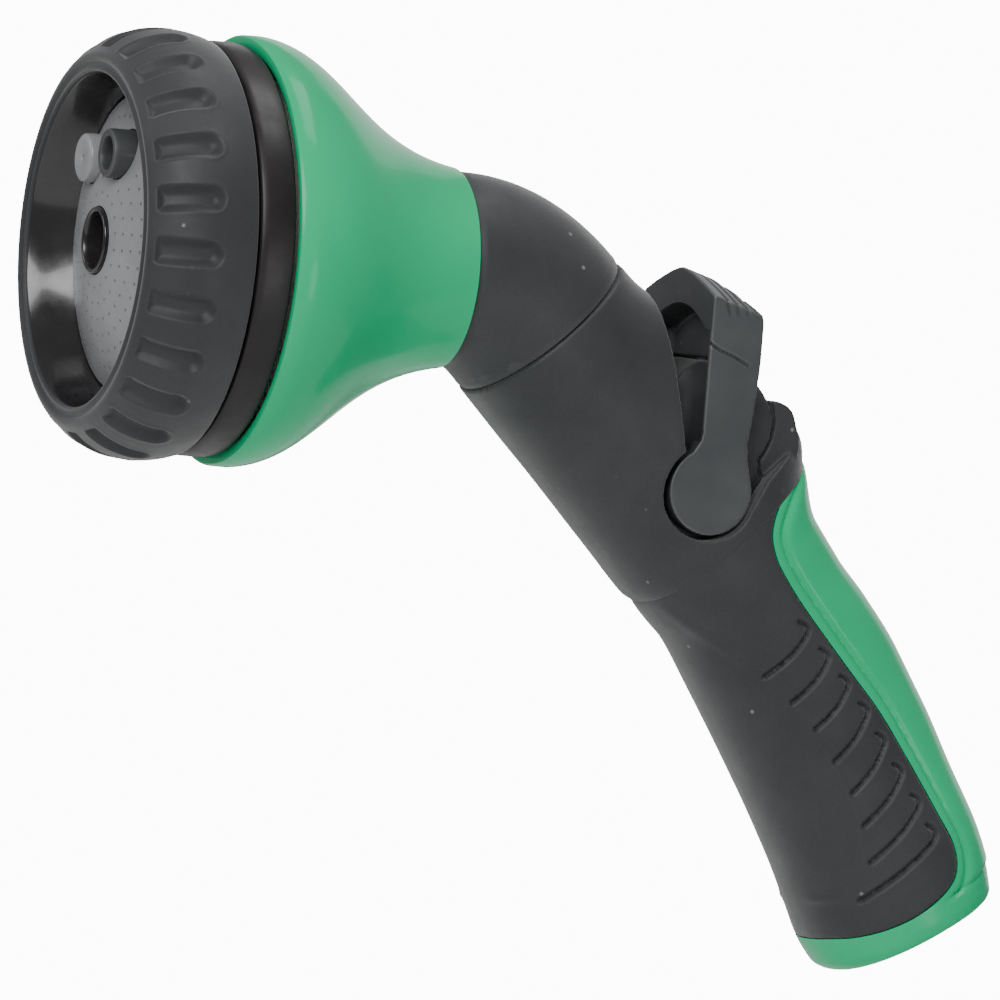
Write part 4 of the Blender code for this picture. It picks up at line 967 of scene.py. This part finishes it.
def grip_panel():
    """Soft overmould with hooked finger grooves on both sides."""
    item = skin("panel", handle_rings(0.0, 0.9, 0.55))
    combine(item, prism("edge", panel_outline(), 25.0), 'INTERSECT')
    combine(item, skin("inside", handle_rings(2.5, 2.0, 2.0)))
    soften(item, 0.36, 3)
    places, facing = coordinates(item), normals(item)
    flat = side_plane(places)
    outward = step_curve(np.sign(places[:, 0]) * facing[:, 0], 0.15, 0.45)
    sink = np.zeros(len(places))
    for path in rib_paths():
        distance, _ = path_distance(flat, path)
        groove = 1.0 * (1 - step_curve(distance, 0.05, 0.72))
        lip = 0.10 * np.exp(-((distance - 1.1) / 0.4) ** 2)
        sink = np.maximum(sink, groove) - lip * (groove < 0.01)
    border = spline_points([(-18.0, 74.0), (-14.9, 67.6), (-9.9, 57.9), (-7.6, 50.5), (-6.0, 43.5),
                            (-5.4, 36.5), (-5.2, 29.7), (-6.2, 23.0), (-8.4, 17.0), (-12.8, 13.2),
                            (-20.5, 15.5)], 6)
    distance, _ = path_distance(flat, border)
    ridge = 0.22 * np.exp(-(distance / 0.8) ** 2)
    places -= facing * ((sink - ridge) * outward * MM)[:, None]
    move_vertices(item, places)
    return finish_piece(item, "grip_skin", "root", "soft_black", "grip_panel", angle=60.0)


def thread_reach(depth, angles):
    """Radius of the cut thread at a depth, fading out at both ends."""
    pitch, crest, root, top, bottom = 2.209, 12.4, 13.55, THREAD_TOP, THREAD_BOTTOM
    phase = (depth / pitch + angles / (2 * math.pi)) % 1.0
    tooth = np.clip(1.5 - np.abs(phase - 0.5) * 4.2, 0.0, 1.0)
    run_out = step_curve(np.array(depth), bottom - 1.2, bottom)
    fade = step_curve(np.array(depth), top, top + 0.9) * (1 - run_out)
    return root - (root - crest) * (tooth * fade + run_out)


def inlet_pieces():
    """Brass insert with a cut hose thread, its washer and a woven-look filter."""
    angles = np.arange(96) * 2 * math.pi / 96
    outline = [(13.6, 0.0), (14.7, 0.0), (15.0, 0.3), (15.0, 18.0), (10.0, 18.0), (10.0, 24.0), (8.0, 24.0),
               (8.0, 18.0), (6.2, 18.0), (6.2, 15.0), (12.4, 15.0)]
    rings = [ring_points(INLET_FRAME, angles, radius, depth) for radius, depth in outline]
    for i in range(61):
        depth = THREAD_BOTTOM - (THREAD_BOTTOM - THREAD_TOP) * i / 60
        rings.append(ring_points(INLET_FRAME, angles, thread_reach(depth, angles), depth))
    item = skin("insert", rings, hollow=True)
    finish_piece(item, "hose_thread", "root", "brass", "thread_insert", angle=50.0)
    washer = rounded([(7.2, 12.1), (12.1, 12.1), (12.1, 14.7), (7.2, 14.7)], 0.5)
    item = lathe("washer", washer, INLET_FRAME, 96)
    finish_piece(item, "hose_seal", "root", "seal_rubber", "hose_washer")
    filter_mesh()


def filter_mesh():
    """Domed strainer: a rim and a square net of thin wire."""
    item = lathe("rim", rounded([(6.9, 10.9), (11.9, 10.9), (11.9, 11.8), (6.9, 11.8)], 0.2), INLET_FRAME, 96)
    finish_piece(item, "strainer_rim", "root", "steel")
    curve = bpy.data.curves.new("net", 'CURVE')
    curve.dimensions = '3D'
    curve.bevel_depth = 0.11 * MM
    curve.bevel_resolution = 1
    curve.use_fill_caps = True
    reach, pitch = 7.0, 0.9
    for turn in (0, 1):
        for k in range(-7, 8):
            offset = k * pitch
            span = math.sqrt(reach ** 2 - offset ** 2)
            spline = curve.splines.new('POLY')
            spline.points.add(16)
            for i in range(17):
                along = span * (2 * i / 16 - 1)
                x, y = (offset, along) if turn else (along, offset)
                depth = 7.9 + 3.3 * (x * x + y * y) / reach ** 2 + (0.06 if turn else -0.06)
                spline.points[i].co = (*(INLET_FRAME @ Vector((x * MM, y * MM, -depth * MM))), 1.0)
    item = evaluated_curve(link("net", curve))
    finish_piece(item, "strainer_net", "root", "steel", "filter_screen")


def evaluated_curve(item):
    """Turn a curve object into a mesh object."""
    bpy.context.view_layer.update()
    graph = bpy.context.evaluated_depsgraph_get()
    mesh = bpy.data.meshes.new_from_object(item.evaluated_get(graph))
    bpy.data.objects.remove(item, do_unlink=True)
    return link("tube_mesh", clean(mesh))


# ------------------------------------------------------------------------- stage and assembly

def light(name, place, target, size, power):
    """Rectangular area light facing a target; sizes in metres, power in watts."""
    data = bpy.data.lights.new(name, 'AREA')
    data.shape = 'RECTANGLE'
    data.size, data.size_y = size
    data.energy = power
    item = bpy.data.objects.new(name, data)
    item.matrix_world = frame_along(Vector(place), Vector(place) - Vector(target))
    bpy.context.scene.collection.objects.link(item)


# Soft lights: place relative to the nozzle's middle, size and power.
LIGHTS = {"key": ((0.95, -0.75, 0.70), (0.7, 0.7), 15.0), "top": ((0.1, 0.25, 1.1), (0.8, 0.5), 6.0),
          "side": ((1.2, 0.35, -0.45), (0.4, 0.9), 5.0), "front": ((-0.35, -1.2, 0.7), (0.6, 0.6), 3.5),
          "back": ((-0.8, 0.6, 0.3), (0.8, 0.8), 2.0)}


def pale_floor(centre, height):
    """Round floor well below the nozzle, which hangs in the air."""
    place = Matrix.Translation((centre.x, centre.y, height - 0.12))
    floor = lathe("floor", [(0.0, 0.0), (650.0, 0.0), (650.0, 4.0), (0.0, 4.0)], place, 128)
    f = Finish("pale_floor")
    colour = f.mix(f.ramp(f.noise(6.0), 0.3, 0.7), (0.80, 0.80, 0.80), (0.86, 0.86, 0.86))
    f.set(Base_Color=colour, Roughness=0.7)
    floor.data.materials.append(f.material)


def white_surround():
    """World that lights softly but looks white to the camera."""
    fill, backdrop_strength = 0.30, 16.0
    world = bpy.data.worlds.new("studio")
    bpy.context.scene.world = world
    world.use_nodes = True
    nodes, links = world.node_tree.nodes, world.node_tree.links
    nodes["Background"].inputs["Strength"].default_value = fill
    nodes["Background"].inputs["Color"].default_value = (1.0, 1.0, 1.0, 1.0)
    backdrop = nodes.new("ShaderNodeBackground")
    backdrop.inputs["Strength"].default_value = backdrop_strength
    path = nodes.new("ShaderNodeLightPath")
    mixer = nodes.new("ShaderNodeMixShader")
    links.new(path.outputs["Is Camera Ray"], mixer.inputs[0])
    links.new(nodes["Background"].outputs[0], mixer.inputs[1])
    links.new(backdrop.outputs[0], mixer.inputs[2])
    links.new(mixer.outputs[0], nodes["World Output"].inputs["Surface"])


def studio():
    """Pale floor, white surround and soft lights."""
    low, high = (Vector(corner) for corner in CAD_BOX)
    centre = (low + high) / 2
    pale_floor(centre, low.z)
    white_surround()
    for name, (offset, size, power) in LIGHTS.items():
        light(name, centre + Vector(offset), centre, size, power)


def camera():
    """At the catalogue view: 68 degrees round from the front, rolled a little."""
    around, climb, roll = (math.radians(degrees) for degrees in (68.4, 1.22, 4.72))
    distance, frame_width, sensor = 3.25, 0.17585, 36.0
    look = Vector((-math.sin(around) * math.cos(climb), math.cos(around) * math.cos(climb), -math.sin(climb)))
    right = Vector((math.cos(around), math.sin(around), 0.0))
    up = right.cross(look)
    right_cam = right * math.cos(roll) + up * math.sin(roll)
    up_cam = up * math.cos(roll) - right * math.sin(roll)
    target = HEAD_FRONT + right_cam * 72.70 * MM - up_cam * 45.82 * MM
    data = bpy.data.cameras.new("view")
    data.sensor_width = sensor
    data.lens = sensor * distance / frame_width
    item = bpy.data.objects.new("view", data)
    rotation = Matrix((right_cam, up_cam, -look)).transposed().to_4x4()
    item.matrix_world = Matrix.Translation(target - look * distance) @ rotation
    data.clip_start, data.clip_end = 0.01, 20.0
    bpy.context.scene.collection.objects.link(item)
    bpy.context.scene.camera = item


def paint_inner_nodes():
    """Carried-over CAD nodes take the finish of their slot."""
    for name, node in frame["nodes"].items():
        slot = SLOTS.get(name, "inner_plastic")
        node.data.materials.clear()
        node.data.materials.append(MATERIALS[slot])


def build():
    """Every piece in turn, then the stage."""
    paint_inner_nodes()
    grip_ring()
    cup_wall()
    spray_plate()
    dial_details()
    collar_band()
    bell()
    neck()
    casing()
    hump()
    thumb_lever()
    green_core()
    grip_panel()
    inlet_pieces()
    studio()
    camera()


build()
